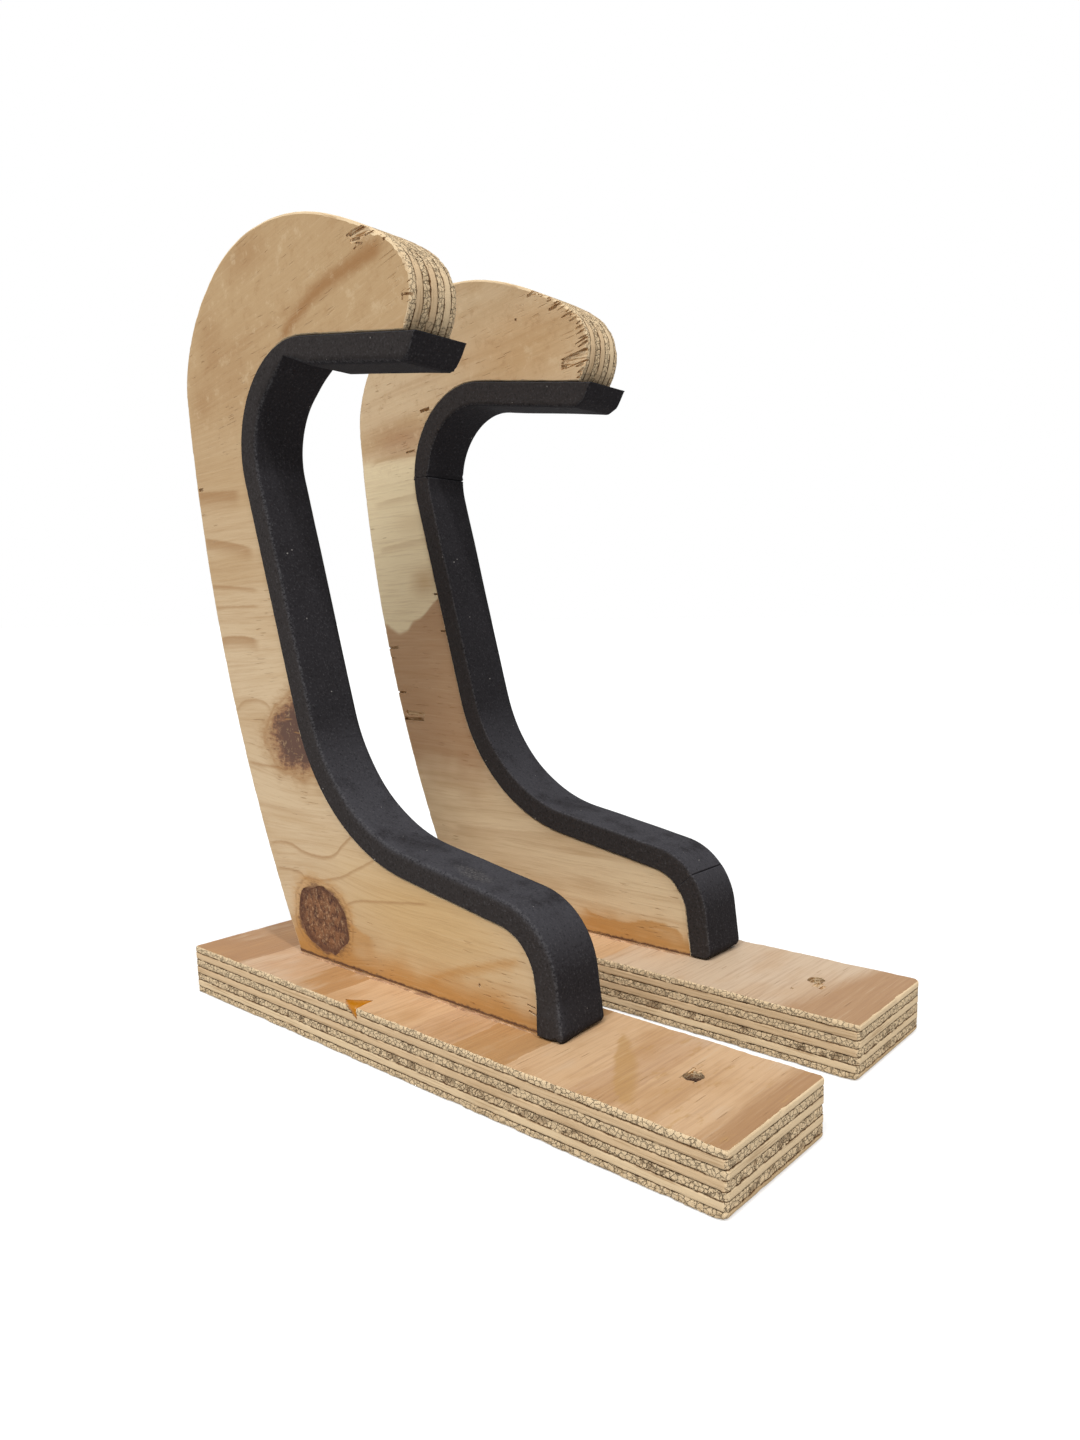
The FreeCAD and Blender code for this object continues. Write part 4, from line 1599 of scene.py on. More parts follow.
class ArmVeneer(Finish):
    """Sanded pine face of an arm, its grain lying along the bracket."""

    def __init__(self, side, place, outline, wood):
        super().__init__(side + "_arm_veneer", place, wood, roughness=0.6, specular=0.2)
        self.side = side
        self.x, y, self.z = self.split(self.spot)
        self.near_face = self.math("LESS_THAN", y, outline.low + outline.depth / 2.0)
        self.rough = self.noise(FACE_ROUGH)
        self.knots = [self.patch(knot, knot.turn) for knot in ARM_KNOTS[side]]
        self.grain = self.join(self.x, y, self.flow())
        self.clouds = self.noise(FACE_CLOUDS, self.grain)
        self.fibres = self.noise(FACE_FIBRES, self.grain)

    def flow(self):
        """Height of the line of grain at a place: drawn round the knots, rising in the head, swaying."""
        flow = self.z
        for knot, away in zip(ARM_KNOTS[self.side], self.knots):
            pull = self.math("EXPONENT", self.scaled(away, away, KNOT_FALL))
            above = self.math("SUBTRACT", self.z, knot.z)
            flow = self.math("SUBTRACT", flow, self.scaled(above, pull, self.near_face, KNOT_PULL))
        ahead = self.math("SUBTRACT", self.x, HEAD_PIVOT)
        lean = self.scaled(ahead, self.fade(self.z, *HEAD_RISE), HEAD_LEAN[self.side])
        return self.shaken(self.math("SUBTRACT", flow, lean), self.noise(FACE_SWAY), reach=7.0)

    def lay_ground(self):
        """Pale wood that darkens up the column, with clouds and bands."""
        self.base = self.tone(GROUND[self.side])
        self.lay(self.z, GROUND_ABOVE[self.side])
        self.lay(self.clouds, CLOUD_TINT)
        self.lay(self.noise(FACE_BANDS, self.grain), BAND_TINT)

    def lay_column(self):
        """Whitish and pink wood of the far arm's column, with a lobed border; painted light lifts the whitish
        wood.
        """
        lobes = self.shaken(self.z, self.noise(PINK_LOBES), reach=22.0)
        above = self.math("SUBTRACT", lobes, self.course(self.x, PINK_BELOW))
        self.lay(above, SAP_AND_PAINTED_LIGHT_TINT, self.fade(self.z, *SAP_UP_TO), self.near_face)
        self.lay(above, PINK_TINT, self.fade(lobes, *PINK_DOWN_TO), self.near_face)

    def lay_zones(self):
        """Soft patches of colour."""
        for zone in ARM_ZONES[self.side]:
            away = self.shaken(self.patch(zone), self.clouds, reach=0.9)
            self.lay(away, Tint(*ZONE_FADE, zone.tone, zone.strength), self.near_face)

    def lay_marks(self):
        """Growth lines and streaks."""
        for mark in ARM_MARKS[self.side]:
            above = self.math("SUBTRACT", self.z, self.course(self.x, mark.course))
            above = self.shaken(above, self.rough, mark.ragged)
            start, end = mark.course[0][0], mark.course[-1][0]
            ends = self.band(
                self.x, (start - MARK_END, start + MARK_END), (end + MARK_END, end - MARK_END)
            )
            lower = self.fade(above, -mark.below, 0.0)
            self.lay(above, Tint(mark.above, 0.0, mark.tone, mark.strength), lower, ends, self.near_face)

    def lay_foot_and_head(self):
        """Orange wood at the foot and mottled wood on the head, with fine fibres over all."""
        self.lay(self.shaken(self.z, self.noise(FOOT_LOBES), reach=16.0), FOOT_TINT)
        mottle = self.noise(HEAD_MOTTLE)
        head = self.fade(self.z, *HEAD_FROM)
        self.lay(mottle, HEAD_BROWN, head)
        self.lay(mottle, HEAD_CREAM, head)
        strength = self.math("SUBTRACT", FIBRE_STRENGTH, self.scaled(head, FIBRE_CALM))
        self.lay(self.fibres, FIBRE_BROWN, strength)
        self.lay(self.fibres, FIBRE_PALE)

    def lay_knots(self):
        """Knots with a frayed rim, a halo, a broken growth ring and a flecked heart."""
        fanned = self.noise(KNOT_FAN)
        lobes = self.noise(KNOT_LOBES)
        curls = self.noise(KNOT_CURLS)
        for knot, away in zip(ARM_KNOTS[self.side], self.knots):
            ragged = self.shaken(self.shaken(away, fanned, reach=0.7), lobes, reach=0.5)
            self.lay(ragged, CRUMBLED_HALO if knot.depth else SOUND_HALO, self.near_face)
            ring = self.shaken(away, lobes, reach=0.4)
            outer = self.fade(ring, *RING_OUT)
            whole = self.fade(fanned, *RING_WHOLE)
            self.lay(ring, RING_TINT, outer, self.near_face, whole)
            tones = CRUMBLED_HEART if knot.depth else SOUND_HEART
            heart = self.ramp(self.scaled(ragged, HEART_SCALE), tones)
            heart = self.over(self.over(heart, curls, HEART_TAN), curls, HEART_DARK)
            self.lay(ragged, Tint(*HEART_RIM, heart, HEART_STRENGTH), self.near_face)

    def lay_dashes(self):
        """Short dark dashes, and where they lie."""
        patches = self.fade(self.noise(DASH_PATCHES), *DASH_WITHIN)
        dashes = self.noise(FACE_DASHES, self.grain)
        self.lay(dashes, DASH_TINT, patches)
        return self.scaled(self.share(dashes, DASH_TINT), patches)

    def whole(self, base_height):
        """The face with all its layers, and painted shade in the joint's gap above the height of the arm's
        base.
        """
        self.lay_ground()
        if self.side == "far":
            self.lay_column()
        self.lay_zones()
        self.lay_marks()
        self.lay_foot_and_head()
        self.lay_knots()
        dark = self.lay_dashes()
        # Painted shade along the gap at the foot
        top = base_height + JOINT_SHADE_HEIGHT
        joint = Tint(top, base_height + 0.5 * JOINT_SHADE_HEIGHT, "knot_dark", JOINT_SHADE_STRENGTH)
        self.lay(self.shaken(self.z, self.rough, reach=2.4), joint)
        self.bump(self.math("SUBTRACT", self.scaled(self.fibres, FIBRE_RELIEF), dark), VENEER_RELIEF)
        return self.done()


# Crumbled heart of a knot: lumps and flecks, and the dark bark round it, in shares of the knot's half size
CRUMBLE_LUMPS = Grain((0.4, 0.4, 0.3), 4.0, 0.75)
CRUMBLE_BROWN = Tint(0.38, 0.56, "knot_brown")
CRUMBLE_FLECKS = Grain((0.85, 0.85, 0.6), 4.0, 0.75)
CRUMBLE_PALE = Tint(0.52, 0.63, "plate_pale", 0.45)
BARK_TINT = Tint(0.7, 0.95, "knot_dark", 0.65)
BARK_OUT = (1.5, 1.2)


def knot_finish(side, place, wood):
    """Crumbled heart of a knot: dark bark with rough brown and greyish fibres."""
    finish = Finish(side + "_arm_knot", place, wood, roughness=0.85, specular=0.1)
    finish.base = wood.knot_dark
    lumps = finish.noise(CRUMBLE_LUMPS)
    finish.lay(lumps, CRUMBLE_BROWN)
    finish.lay(finish.noise(CRUMBLE_FLECKS), CRUMBLE_PALE)
    for knot in ARM_KNOTS[side]:
        away = finish.shaken(finish.patch(knot, knot.turn), lumps, reach=0.5)
        finish.lay(away, BARK_TINT, finish.fade(away, *BARK_OUT))
    finish.bump(lumps, depth=0.8)
    return finish.done()


def ply_bounds():
    """Shares of the board's depth at which its glue lines lie."""
    return [sum(PLY_SHARES[:count]) for count in range(1, len(PLY_SHARES))]


class Ply(NamedTuple):
    """Look of a ply on a sawn edge: its tone, and how much it crumbles where its fibres are cut across."""

    tone: str
    crumble: float


ARM_PLIES = (
    Ply("edge_cream", 0.4), Ply("edge_tan", 0.3), Ply("edge_grey", 0.8), Ply("edge_tan", 0.6),
    Ply("edge_cream", 0.4), Ply("edge_cream", 0.3), Ply("edge_tan", 0.4),
)
PLATE_PLIES = (
    Ply("edge_cream", 0.5), Ply("edge_tan", 0.45), Ply("edge_cream", 0.55), Ply("edge_tan", 0.9),
    Ply("edge_cream", 1.0), Ply("edge_cream", 0.8), Ply("edge_grey", 0.6),
)

# Half the width of a dark glue line and of its core, as shares of the board, and where the line is broken
GLUE_HALF = 0.016
GLUE_CORE = 0.006
GLUE_BREAKS = Grain((0.25,) * 3, 3.0)
GLUE_WHOLE = (0.32, 0.48)
GLUE_STRENGTH = 0.95

# How the borders of the plies wander
PLY_WANDER = Grain((0.4,) * 3, 4.0, 0.7)

# End grain: how far fibres point out of the edge, its lumps and crumbs, and the gaps and holes between them,
# which get painted shade
CUT_ACROSS = (0.4, 0.75)
EDGE_LUMPS = Grain((0.75,) * 3, 4.0, 0.7)
EDGE_CRUMB = 1.6
CRUMB_WARP = (1.6,) * 3
CRUMB_GAP = (0.07, 0.0)
GAP_SHARE = 0.75
LUMP_HOLE = (0.36, 0.25)
CRUMB_GREY = 0.4
CRUMB_TOP = Tint(0.32, 0.54, "edge_cream")
HOLE_SHADE_STRENGTH = 0.85

# Long grain: how its streaks are drawn out along it, and their tones
STREAK_DETAIL = (4.0, 0.65)
STREAK_DARK = Tint(0.5, 0.68, "edge_dark", 0.75)
STREAK_PALE = Tint(0.45, 0.25, "edge_cream", 0.5)

# Dirt in patches, and painted shade in the pits where the edge is torn
DIRT_PATCHES = Grain((0.035, 0.035, 0.05), 2.0)
DIRT_TINT = Tint(0.52, 0.75, "edge_dark", 0.3)
TORN_PIT_SHADE = Tint(0.42, 0.85, "edge_glue_and_pit_shade", 0.5)


class EdgeFinish(Finish):
    """Sawn edge of plywood: seven plies, crumbled where their fibres are cut across."""

    def __init__(self, name, place, plies, wood):
        super().__init__(name, place, wood, roughness=0.85, specular=0.1)
        self.plies = plies
        self.wander = self.noise(PLY_WANDER)
        self.lumps = self.noise(EDGE_LUMPS)

    def by_ply(self, depth, colours):
        """A colour for each ply, hard against the next."""
        return self.ramp(depth, list(zip([0.0] + ply_bounds(), colours)), hard=True)

    def cut_across(self, depth, grains):
        """1 where a ply's fibres are cut across."""
        odd = self.by_ply(depth, [(1 - ply % 2,) * 3 for ply in range(len(self.plies))])
        normal = self.add("NewGeometry", {}).outputs["Normal"]
        ways = [self.math("ABSOLUTE", self.vector("DOT_PRODUCT", normal, grain)) for grain in grains]
        return self.fade(self.mix(odd, ways[1], ways[0]), *CUT_ACROSS)

    def gaps(self):
        """1 in the gaps between crumbs."""
        shift = self.vector("MULTIPLY", self.join(self.lumps, self.wander, self.lumps), CRUMB_WARP)
        return self.fade(self.cracks(self.vector("ADD", self.spot, shift), EDGE_CRUMB), *CRUMB_GAP)

    def crumbs(self, depth, gaps):
        """Colour of end grain: pale crumbs with painted shade in the holes between them."""
        crumble = self.by_ply(depth, [(ply.crumble,) * 3 for ply in self.plies])
        holes = self.math("MAXIMUM", self.scaled(gaps, GAP_SHARE), self.fade(self.lumps, *LUMP_HOLE))
        weathered = self.mix(CRUMB_GREY, self.base, self.tones.edge_grey)
        crumbs = self.over(weathered, self.lumps, CRUMB_TOP)
        return self.mix(self.scaled(holes, crumble, HOLE_SHADE_STRENGTH), crumbs, self.tones.edge_glue_and_pit_shade)

    def streaks(self, stretch):
        """Colour of long grain: dark and pale streaks."""
        runs = self.noise(Grain(stretch, *STREAK_DETAIL))
        return self.over(self.over(self.base, runs, STREAK_DARK), runs, STREAK_PALE)

    def glue(self, depth):
        """1 on the glue lines between plies."""
        lines = [(0.0, (0, 0, 0))]
        for top in ply_bounds():
            for reach, shade in ((-GLUE_HALF, 0), (-GLUE_CORE, 1), (GLUE_CORE, 1), (GLUE_HALF, 0)):
                lines.append((top + reach, (shade,) * 3))
        return self.ramp(depth, lines)

    def whole(self, depth, grains, stretch):
        """The edge with all its layers, by its depth as a share of the board."""
        depth = self.shaken(depth, self.wander, reach=0.04)
        self.base = self.by_ply(depth, [ply.tone for ply in self.plies])
        cut_across = self.cut_across(depth, grains)
        gaps = self.gaps()
        self.base = self.mix(cut_across, self.streaks(stretch), self.crumbs(depth, gaps))
        self.lay(self.noise(DIRT_PATCHES), DIRT_TINT)
        # Painted shade in the torn pits
        self.lay(self.add("Attribute", {}, attribute_name=TORN_LAYER).outputs["Fac"], TORN_PIT_SHADE)
        whole = self.fade(self.noise(GLUE_BREAKS), *GLUE_WHOLE)
        glue = self.scaled(self.glue(depth), whole, GLUE_STRENGTH)
        self.base = self.mix(glue, self.base, self.tones.edge_glue_and_pit_shade)
        self.bump(self.scaled(self.math("SUBTRACT", self.lumps, gaps), cut_across), depth=0.5)
        return self.done()


# Waves to the millimetre of the streaks on long grain
ARM_STREAKS = (0.05, 1.6, 0.05)
PLATE_STREAKS = (0.05, 0.05, 1.6)


def arm_edge_finish(side, place, outline, wood):
    """Sawn edge of an arm: its plies lie across Y."""
    finish = EdgeFinish(side + "_arm_edge", place, ARM_PLIES, wood)
    deep = finish.math("SUBTRACT", finish.split(finish.spot)[1], outline.low)
    return finish.whole(finish.math("DIVIDE", deep, outline.depth), ARM_GRAINS, ARM_STREAKS)


def plate_edge_finish(side, place, outline, wood):
    """Sawn edge of a plate: its plies lie across Z, counted from the top."""
    finish = EdgeFinish(side + "_plate_edge", place, PLATE_PLIES, wood)
    deep = finish.math("SUBTRACT", outline.low + outline.depth, finish.split(finish.spot)[2])
    return finish.whole(finish.math("DIVIDE", deep, outline.depth), PLATE_GRAINS, PLATE_STREAKS)


# Strips of the plates' top veneer: where each starts along the plate, and its tone
PLATE_STRIPS = {
    "near": (
        (-120.0, "plate_brown"), (-89.0, "plate_pink"), (-58.0, "plate_tan"), (-37.0, "plate_pale"),
        (6.0, "plate_pink"), (25.0, "plate_tan"), (46.0, "plate_pale"), (70.0, "plate_pink"),
        (84.0, "plate_pale"),
    ),
    "far": ((-120.0, "plate_pink"), (-60.0, "plate_tan"), (-20.0, "plate_pale"), (20.0, "plate_cream")),
}

# Length of a plate, and how rough the borders of its strips are
PLATE_LENGTH = 240.0
PLATE_ROUGH = Grain((0.5, 0.05, 0.3), 4.0, 0.65)

# Clouds on a plate's top
PLATE_CLOUDS = Grain((0.06, 0.025, 0.3), 3.0, 0.6)
PLATE_TAN = {"near": Tint(0.48, 0.7, "plate_tan", 0.6), "far": Tint(0.48, 0.7, "plate_tan", 0.3)}
PLATE_CREAM = Tint(0.46, 0.3, "plate_cream", 0.5)

# Brown front end of a plate's top: where it fades in along the plate, and how its border leans
PLATE_FRONT = {
    "near": Tint(107.0, 115.0, "plate_brown", 0.85),
    "far": Tint(94.0, 104.0, "plate_brown", 0.85),
}
PLATE_FRONT_LEAN = {"near": 0.0, "far": 0.2}

# Amber wedge on the near plate's top: both of its sides as (y, x) points, and how these and its ends fade
WEDGE_BACK = ((-23.0, 88.0), (-15.8, 78.9), (-4.0, 69.5), (8.0, 61.3), (14.0, 58.5))
WEDGE_FRONT = ((-23.0, 91.0), (-14.0, 86.0), (-5.6, 80.2), (5.9, 69.6), (14.0, 59.5))
WEDGE_TINT = Tint(-0.4, 1.4, "plate_amber", 0.75)
WEDGE_AHEAD = (-0.8, 3.0)
WEDGE_ENDS = ((-23.0, -19.0), (14.0, 12.0))

# Amber flecks round the wedge, and where along the plate they start
WEDGE_FLECKS = Grain((0.35, 0.14, 0.3), 3.0, 0.7)
FLECK_TINT = Tint(0.58, 0.7, "plate_amber", 0.55)
FLECKS_FROM = (50.0, 75.0)

# Fibres and short dark dashes of a plate's top
TOP_FIBRES = Grain((1.1, 0.035, 0.8), 4.0, 0.7)
TOP_BROWN = Tint(0.42, 0.72, "knot_brown", 0.28)
TOP_CREAM = Tint(0.45, 0.25, "plate_cream", 0.35)
TOP_DASHES = Grain((1.4, 0.07, 1.0), 1.0)
TOP_DASH_TINT = Tint(0.7, 0.77, "veneer_brown", 0.5)


def lay_wedge(finish, ragged, x, y):
    """Amber wedge with flecks round it on the near plate's top."""
    behind = finish.math("SUBTRACT", ragged, finish.course(y, WEDGE_BACK))
    ahead = finish.math("SUBTRACT", finish.course(y, WEDGE_FRONT), ragged)
    finish.lay(behind, WEDGE_TINT, finish.fade(ahead, *WEDGE_AHEAD), finish.band(y, *WEDGE_ENDS))
    finish.lay(finish.noise(WEDGE_FLECKS), FLECK_TINT, finish.fade(x, *FLECKS_FROM))


def plate_top_finish(side, place, wood):
    """Sanded face of a plate, its grain lying across the plate."""
    finish = Finish(side + "_plate_veneer", place, wood, roughness=0.55, specular=0.2)
    x, y = finish.split(finish.spot)[:2]
    rough = finish.noise(PLATE_ROUGH)
    ragged = finish.shaken(x, rough, reach=5.0)
    run = finish.math("ADD", finish.math("DIVIDE", ragged, PLATE_LENGTH), 0.5)
    strips = [(start / PLATE_LENGTH + 0.5, tone) for start, tone in PLATE_STRIPS[side]]
    finish.base = finish.ramp(run, strips, hard=True)
    clouds = finish.noise(PLATE_CLOUDS)
    finish.lay(clouds, PLATE_TAN[side])
    finish.lay(clouds, PLATE_CREAM)
    leaning = finish.math("SUBTRACT", x, finish.scaled(y, PLATE_FRONT_LEAN[side]))
    finish.lay(finish.shaken(leaning, rough, reach=9.0), PLATE_FRONT[side])
    if side == "near":
        lay_wedge(finish, ragged, x, y)
    fibres = finish.noise(TOP_FIBRES)
    finish.lay(fibres, TOP_BROWN)
    finish.lay(fibres, TOP_CREAM)
    dashes = finish.noise(TOP_DASHES)
    finish.lay(dashes, TOP_DASH_TINT)
    dark = finish.share(dashes, TOP_DASH_TINT)
    finish.bump(finish.math("SUBTRACT", finish.scaled(fibres, FIBRE_RELIEF), dark), VENEER_RELIEF)
    return finish.done()


# Torn wood: detail of its fibres, their tones, and over which depth painted shade darkens it
TORN_DETAIL = (3.0, 0.65)
TORN_TAN = Tint(0.36, 0.52, "edge_tan")
TORN_CREAM = Tint(0.5, 0.66, "edge_cream")
TORN_SHADE_RUN = 2.5
TORN_SHADE_STRENGTH = 0.95


def torn_finish(name, place, stretch, shade_below, wood):
    """Torn wood inside a chip or hole: pale fibres over brown, with painted shade below a height."""
    finish = Finish(name + "_torn", place, wood, roughness=0.9, specular=0.1)
    finish.base = wood.veneer_brown
    fibres = finish.noise(Grain(stretch, *TORN_DETAIL))
    finish.lay(fibres, TORN_TAN)
    finish.lay(fibres, TORN_CREAM)
    # Painted shade deep in holes and bores
    deep = Tint(shade_below, shade_below - TORN_SHADE_RUN, "knot_dark", TORN_SHADE_STRENGTH)
    finish.lay(finish.split(finish.spot)[2], deep)
    finish.bump(fibres, depth=0.5)
    return finish.done()


# Glue and resin: the noise in them, and the tone that it brings in
GLUE_STREAKS = Grain((0.25, 0.8, 0.8), 3.0, 0.6)
GLUE_PINK = Tint(0.42, 0.64, "plate_pink")
RESIN_CLOUDS = Grain((0.3,) * 3, 3.0)
RESIN_PALE = Tint(0.4, 0.7, "plate_pale", 0.12)


def glue_finish(side, place, wood):
    """Dried wood glue, brownish pink and a little glossy."""
    finish = Finish(side + "_glue", place, wood, roughness=0.4, specular=0.4)
    finish.base = wood.glue
    streaks = finish.noise(GLUE_STREAKS)
    finish.lay(streaks, GLUE_PINK)
    finish.bump(streaks, depth=0.15)
    return finish.done()


def resin_finish(place, wood):
    """Hard amber resin."""
    finish = Finish("near_resin", place, wood, roughness=0.22, specular=0.2)
    finish.base = wood.resin
    clouds = finish.noise(RESIN_CLOUDS)
    finish.lay(clouds, RESIN_PALE)
    finish.bump(clouds, depth=0.2)
    return finish.done()


# Foam: its cells and clouds, its cut sides, and its tops, which gather dust and carry a painted sheen where
# they face up
FOAM_CELLS = Grain((1.25,) * 3, 3.0, 0.75)
FOAM_CLOUDS = Grain((0.08,) * 3, 3.0, 0.6)
FOAM_SIDES = Tint(0.6, 0.97, "cut")
FOAM_TOP_DUST_AND_SHEEN = Tint(0.05, 0.9, "dust_and_top_sheen")
DUST_AND_SHEEN_CLOUDS = (0.2, 0.55)

# Foam: its creases, worn and lit by a painted highlight where its cells stand out, and its cells
CREASE_WEAR_AND_HIGHLIGHT = Tint(0.4, 0.65, "worn", 0.45)
CREASE_OUT = (0.95, 0.72)
CREASE_CELLS = (0.4, 0.6)
CELL_WORN = Tint(0.54, 0.74, "worn", 0.5)
CELL_PORES = Tint(0.46, 0.3, "pores", 0.6)

# Dust on the near strip's instep: its middle and half sizes, its fade, and the cells that it fills
DUST_MIDDLE = (8.0, 3.0, 60.5)
DUST_HALVES = (9.0, 4.0, 8.0)
DUST_TINT = Tint(1.1, 0.3, "dust", 0.2)
DUST_CELLS = (0.3, 0.75)

# Specks of dust on all strips
FOAM_SPECKS = Grain((0.7,) * 3, 0.0)
SPECK_TINT = Tint(0.872, 0.89, "dust", 0.7)


def foam_finish(node, place, foam):
    """Closed-cell charcoal foam: a dark skin, greyer cut sides, dust and a painted sheen on top, and creases
    with wear and a painted highlight.
    """
    finish = Finish(node + "_foam", place, foam, roughness=0.88, specular=0.06)
    finish.base = foam.black
    normal = finish.split(finish.add("NewGeometry", {}).outputs["Normal"])
    across = finish.math("ABSOLUTE", normal[1])
    cells = finish.noise(FOAM_CELLS)
    clouds = finish.noise(FOAM_CLOUDS)
    finish.lay(across, FOAM_SIDES)
    # Painted sheen and dust on faces that point up
    finish.lay(normal[2], FOAM_TOP_DUST_AND_SHEEN, finish.fade(clouds, *DUST_AND_SHEEN_CLOUDS))
    # Wear and painted highlight on the rounded creases
    finish.lay(across, CREASE_WEAR_AND_HIGHLIGHT, finish.fade(across, *CREASE_OUT), finish.fade(cells, *CREASE_CELLS))
    finish.lay(cells, CELL_WORN)
    finish.lay(cells, CELL_PORES)
    if node == "near_foam_pad":
        away = finish.shaken(finish.oval(DUST_MIDDLE, DUST_HALVES), clouds, reach=1.2)
        finish.lay(away, DUST_TINT, finish.fade(cells, *DUST_CELLS))
    finish.lay(finish.noise(FOAM_SPECKS), SPECK_TINT)
    finish.bump(cells, depth=0.3)
    return finish.done()


# Patches of the zinc plating
ZINC_PATINA = Grain((0.5, 0.5, 0.2), 3.0)
ZINC_BRIGHT = Tint(0.4, 0.65, "zinc_bright")


def zinc_finish(screws):
    """Zinc-plated steel of the screws."""
    finish = Finish("screw_zinc", Matrix.Identity(4), screws, roughness=0.34, specular=0.5)
    finish.shader["Metallic"].default_value = 1.0
    finish.base = screws.zinc_dull
    patina = finish.noise(ZINC_PATINA)
    finish.lay(patina, ZINC_BRIGHT)
    finish.bump(patina, depth=0.05)
    return finish.done()


class RACK_OT_make_arms(bpy.types.Operator):
    """Makes the two plywood arms"""

    bl_idname = "rack.make_arms"
    bl_label = "Make Arms"

    def execute(self, context):
        for side in SIDES:
            make_arm(side, context.scene.rack_plywood)
        return {"FINISHED"}


class RACK_OT_make_plates(bpy.types.Operator):
    """Makes the two plywood base plates"""

    bl_idname = "rack.make_plates"
    bl_label = "Make Plates"

    def execute(self, context):
        for side in SIDES:
            make_plate(side, context.scene.rack_plywood)
        return {"FINISHED"}


class RACK_OT_make_linings(bpy.types.Operator):
    """Makes the foam strips of both hooks"""

    bl_idname = "rack.make_linings"
    bl_label = "Make Linings"

    def execute(self, context):
        foam = context.scene.rack_foam
        make_pads("near", foam.near_round, foam.near_end, foam)
        make_pads("far", foam.far_round, foam.far_end, foam)
        return {"FINISHED"}


class RACK_OT_make_glue(bpy.types.Operator):
    """Makes the glue that was pressed out at the arms' feet"""

    bl_idname = "rack.make_glue"
    bl_label = "Make Glue"

    def execute(self, context):
        for side in SIDES:
            make_glue(side, context.scene.rack_plywood)
        return {"FINISHED"}


class RACK_OT_make_resin(bpy.types.Operator):
    """Makes the resin drop on the near plate"""

    bl_idname = "rack.make_resin"
    bl_label = "Make Resin"

    def execute(self, context):
        make_resin(context.scene.rack_plywood)
        return {"FINISHED"}


class RACK_OT_finish_screws(bpy.types.Operator):
    """Gives the screws their zinc finish"""

    bl_idname = "rack.finish_screws"
    bl_label = "Finish Screws"

    def execute(self, context):
        zinc = zinc_finish(context.scene.rack_screws)
        for side in SIDES:
            for name in SCREWS:
                screw = frame["nodes"][f"{side}_screw_{name}"]
                screw.data.materials.clear()
                screw.data.materials.append(zinc)
        return {"FINISHED"}


# Floor: its radius in metres, its sides, how far in millimetres it lies below the part, and its glow
FLOOR_RADIUS = 60.0
FLOOR_SIDES = 64
FLOOR_GAP = 0.2
FLOOR_GLOW = 0.5

# Nearest distance that the camera shows, in metres, and the directions that the lamps shine from
CLIP_START = 0.01
KEY_FROM = Vector((0.17, -0.55, 0.82))
SIDE_FROM = Vector((0.7, -0.22, 1.0))


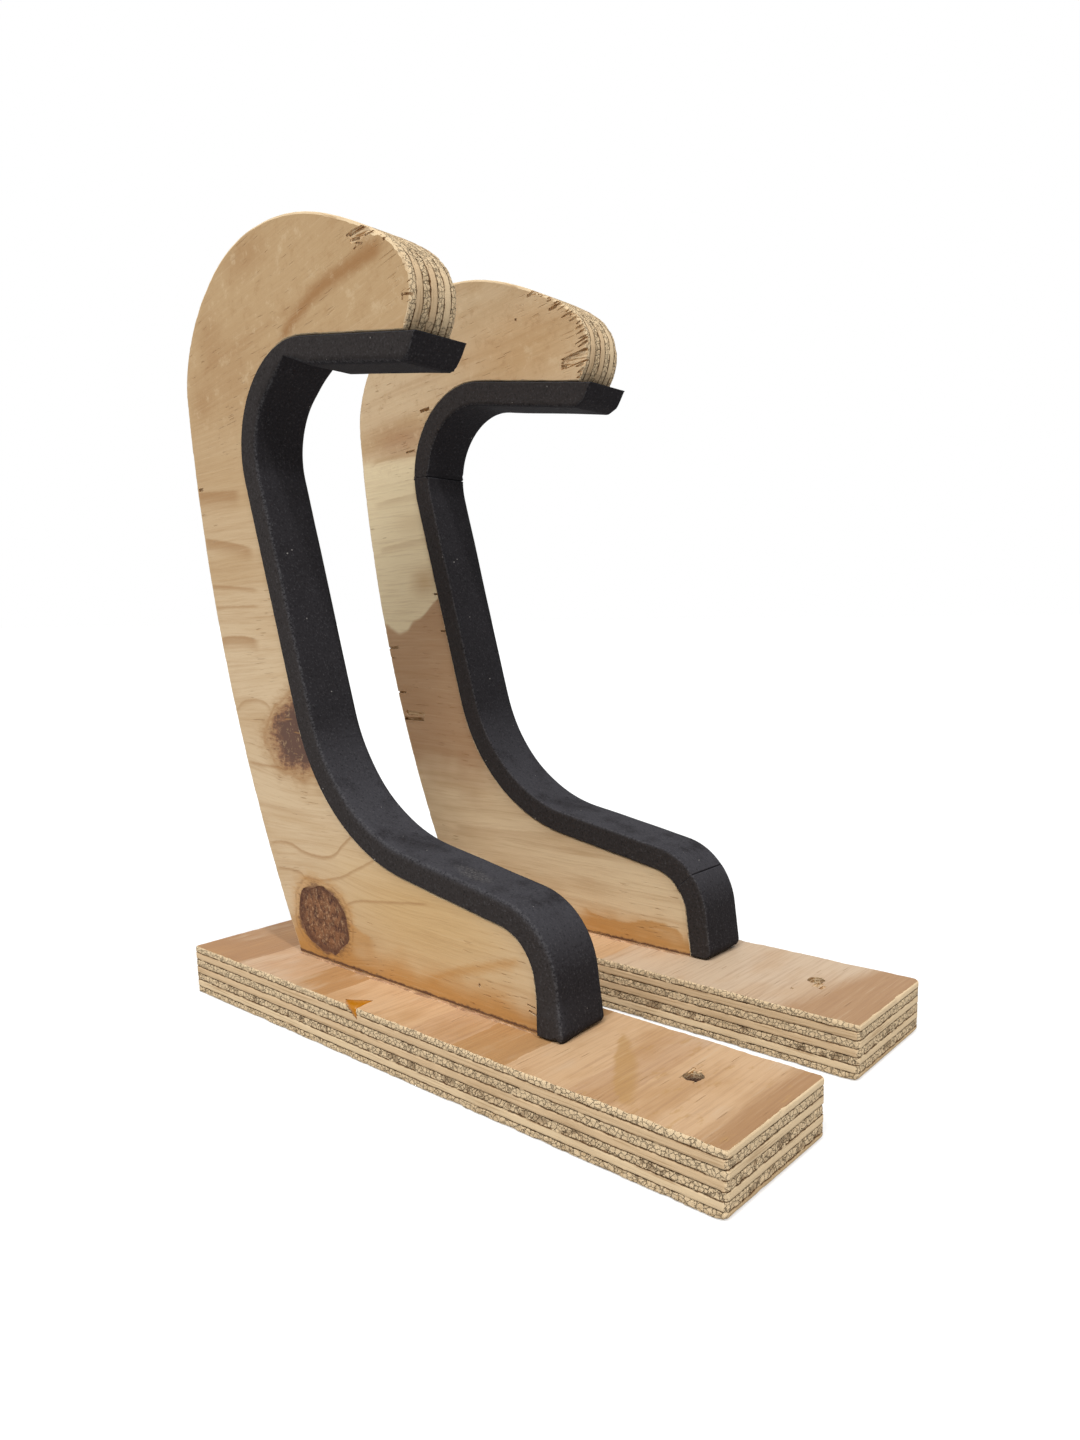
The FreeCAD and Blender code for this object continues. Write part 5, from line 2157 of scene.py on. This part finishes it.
class RACK_OT_set_stage(bpy.types.Operator):
    """Sets the camera, the soft light and the plain floor"""

    bl_idname = "rack.set_stage"
    bl_label = "Set Stage"

    def seen(self, nodes):
        """1 for a ray that shows the backdrop, directly, in gloss or through glass."""
        path = nodes.add("LightPath", {}).outputs
        either = nodes.math("MAXIMUM", path["Is Camera Ray"], path["Is Glossy Ray"])
        return nodes.math("MAXIMUM", either, path["Is Transmission Ray"])

    def make_lamp(self, name, strength, spread, source):
        """A distant lamp that shines from a direction."""
        lamp = bpy.data.objects.new(name, bpy.data.lights.new(name, "SUN"))
        lamp.data.energy = strength
        lamp.data.angle = spread
        lamp.rotation_euler = source.to_track_quat("Z", "Y").to_euler()
        bpy.context.scene.collection.objects.link(lamp)

    def make_floor(self, stage):
        """A pale matt floor that shows a little brighter than it lights the part."""
        mesh = bmesh.new()
        bmesh.ops.create_circle(mesh, cap_ends=True, segments=FLOOR_SIDES, radius=FLOOR_RADIUS)
        bmesh.ops.translate(mesh, vec=(0, 0, CAD_BOX[0].z - FLOOR_GAP * MM), verts=mesh.verts)
        material = bpy.data.materials.new("pale_floor")
        material.use_nodes = True
        nodes = Nodes(material.node_tree)
        nodes.nodes.clear()
        matt = nodes.add("BsdfDiffuse", {"Color": stage.floor})
        glow = nodes.add("Emission", {"Strength": nodes.scaled(self.seen(nodes), FLOOR_GLOW)})
        both = nodes.add("AddShader", {0: matt.outputs[0], 1: glow.outputs[0]})
        nodes.add("OutputMaterial", {"Surface": both.outputs[0]})
        new_piece("floor", mesh, [material])
        mesh.free()

    def make_sky(self, stage):
        """A white backdrop that lights the part by less than it shows."""
        world = bpy.data.worlds.new("studio")
        world.use_nodes = True
        bpy.context.scene.world = world
        nodes = Nodes(world.node_tree)
        backdrop = nodes.nodes["Background"].inputs
        nodes.feed(backdrop["Color"], (1.0, 1.0, 1.0))
        sockets = {"Value": self.seen(nodes), "To Min": stage.sky, "To Max": 1.0}
        nodes.feed(backdrop["Strength"], nodes.add("MapRange", sockets).outputs[0])

    def execute(self, context):
        stage = context.scene.rack_stage
        context.scene.view_settings.view_transform = "Standard"
        camera = bpy.data.objects.new("camera", bpy.data.cameras.new("camera"))
        camera.location = stage.camera_place
        camera.rotation_euler = stage.camera_turn
        camera.data.lens = stage.lens
        camera.data.shift_x = stage.shift_x
        camera.data.shift_y = stage.shift_y
        camera.data.clip_start = CLIP_START
        context.scene.collection.objects.link(camera)
        context.scene.camera = camera
        self.make_lamp("key", stage.key, stage.key_spread, KEY_FROM)
        self.make_lamp("side", stage.side, stage.side_spread, SIDE_FROM)
        self.make_floor(stage)
        self.make_sky(stage)
        return {"FINISHED"}


class VIEW3D_PT_surfboard_rack(bpy.types.Panel):
    """Buttons and settings of the rack"""

    bl_label = "Surfboard Rack"
    bl_space_type = "VIEW_3D"
    bl_region_type = "UI"
    bl_category = "Rack"

    def draw(self, context):
        for operator in OPERATORS:
            self.layout.operator(operator.bl_idname)
        for group in SETTINGS:
            settings = getattr(context.scene, group)
            for name in settings.bl_rna.properties.keys():
                if name not in ("rna_type", "name"):
                    self.layout.prop(settings, name)


OPERATORS = (
    RACK_OT_make_arms,
    RACK_OT_make_plates,
    RACK_OT_make_linings,
    RACK_OT_make_glue,
    RACK_OT_make_resin,
    RACK_OT_finish_screws,
    RACK_OT_set_stage,
)
SETTINGS = {
    "rack_plywood": RackPlywoodSettings,
    "rack_foam": RackFoamSettings,
    "rack_screws": RackScrewSettings,
    "rack_stage": RackStageSettings,
}
CLASSES = (*SETTINGS.values(), *OPERATORS, VIEW3D_PT_surfboard_rack)


def register():
    """Adds the add-on's classes and settings."""
    for each in CLASSES:
        bpy.utils.register_class(each)
    for name, group in SETTINGS.items():
        setattr(bpy.types.Scene, name, bpy.props.PointerProperty(type=group))


def unregister():
    """Takes the add-on's settings and classes away."""
    for name in SETTINGS:
        delattr(bpy.types.Scene, name)
    for each in reversed(CLASSES):
        bpy.utils.unregister_class(each)


def main():
    register()
    bpy.ops.rack.make_arms()
    bpy.ops.rack.make_plates()
    bpy.ops.rack.make_linings()
    bpy.ops.rack.make_glue()
    bpy.ops.rack.make_resin()
    bpy.ops.rack.finish_screws()
    bpy.ops.rack.set_stage()


if __name__ == "__main__":
    main()
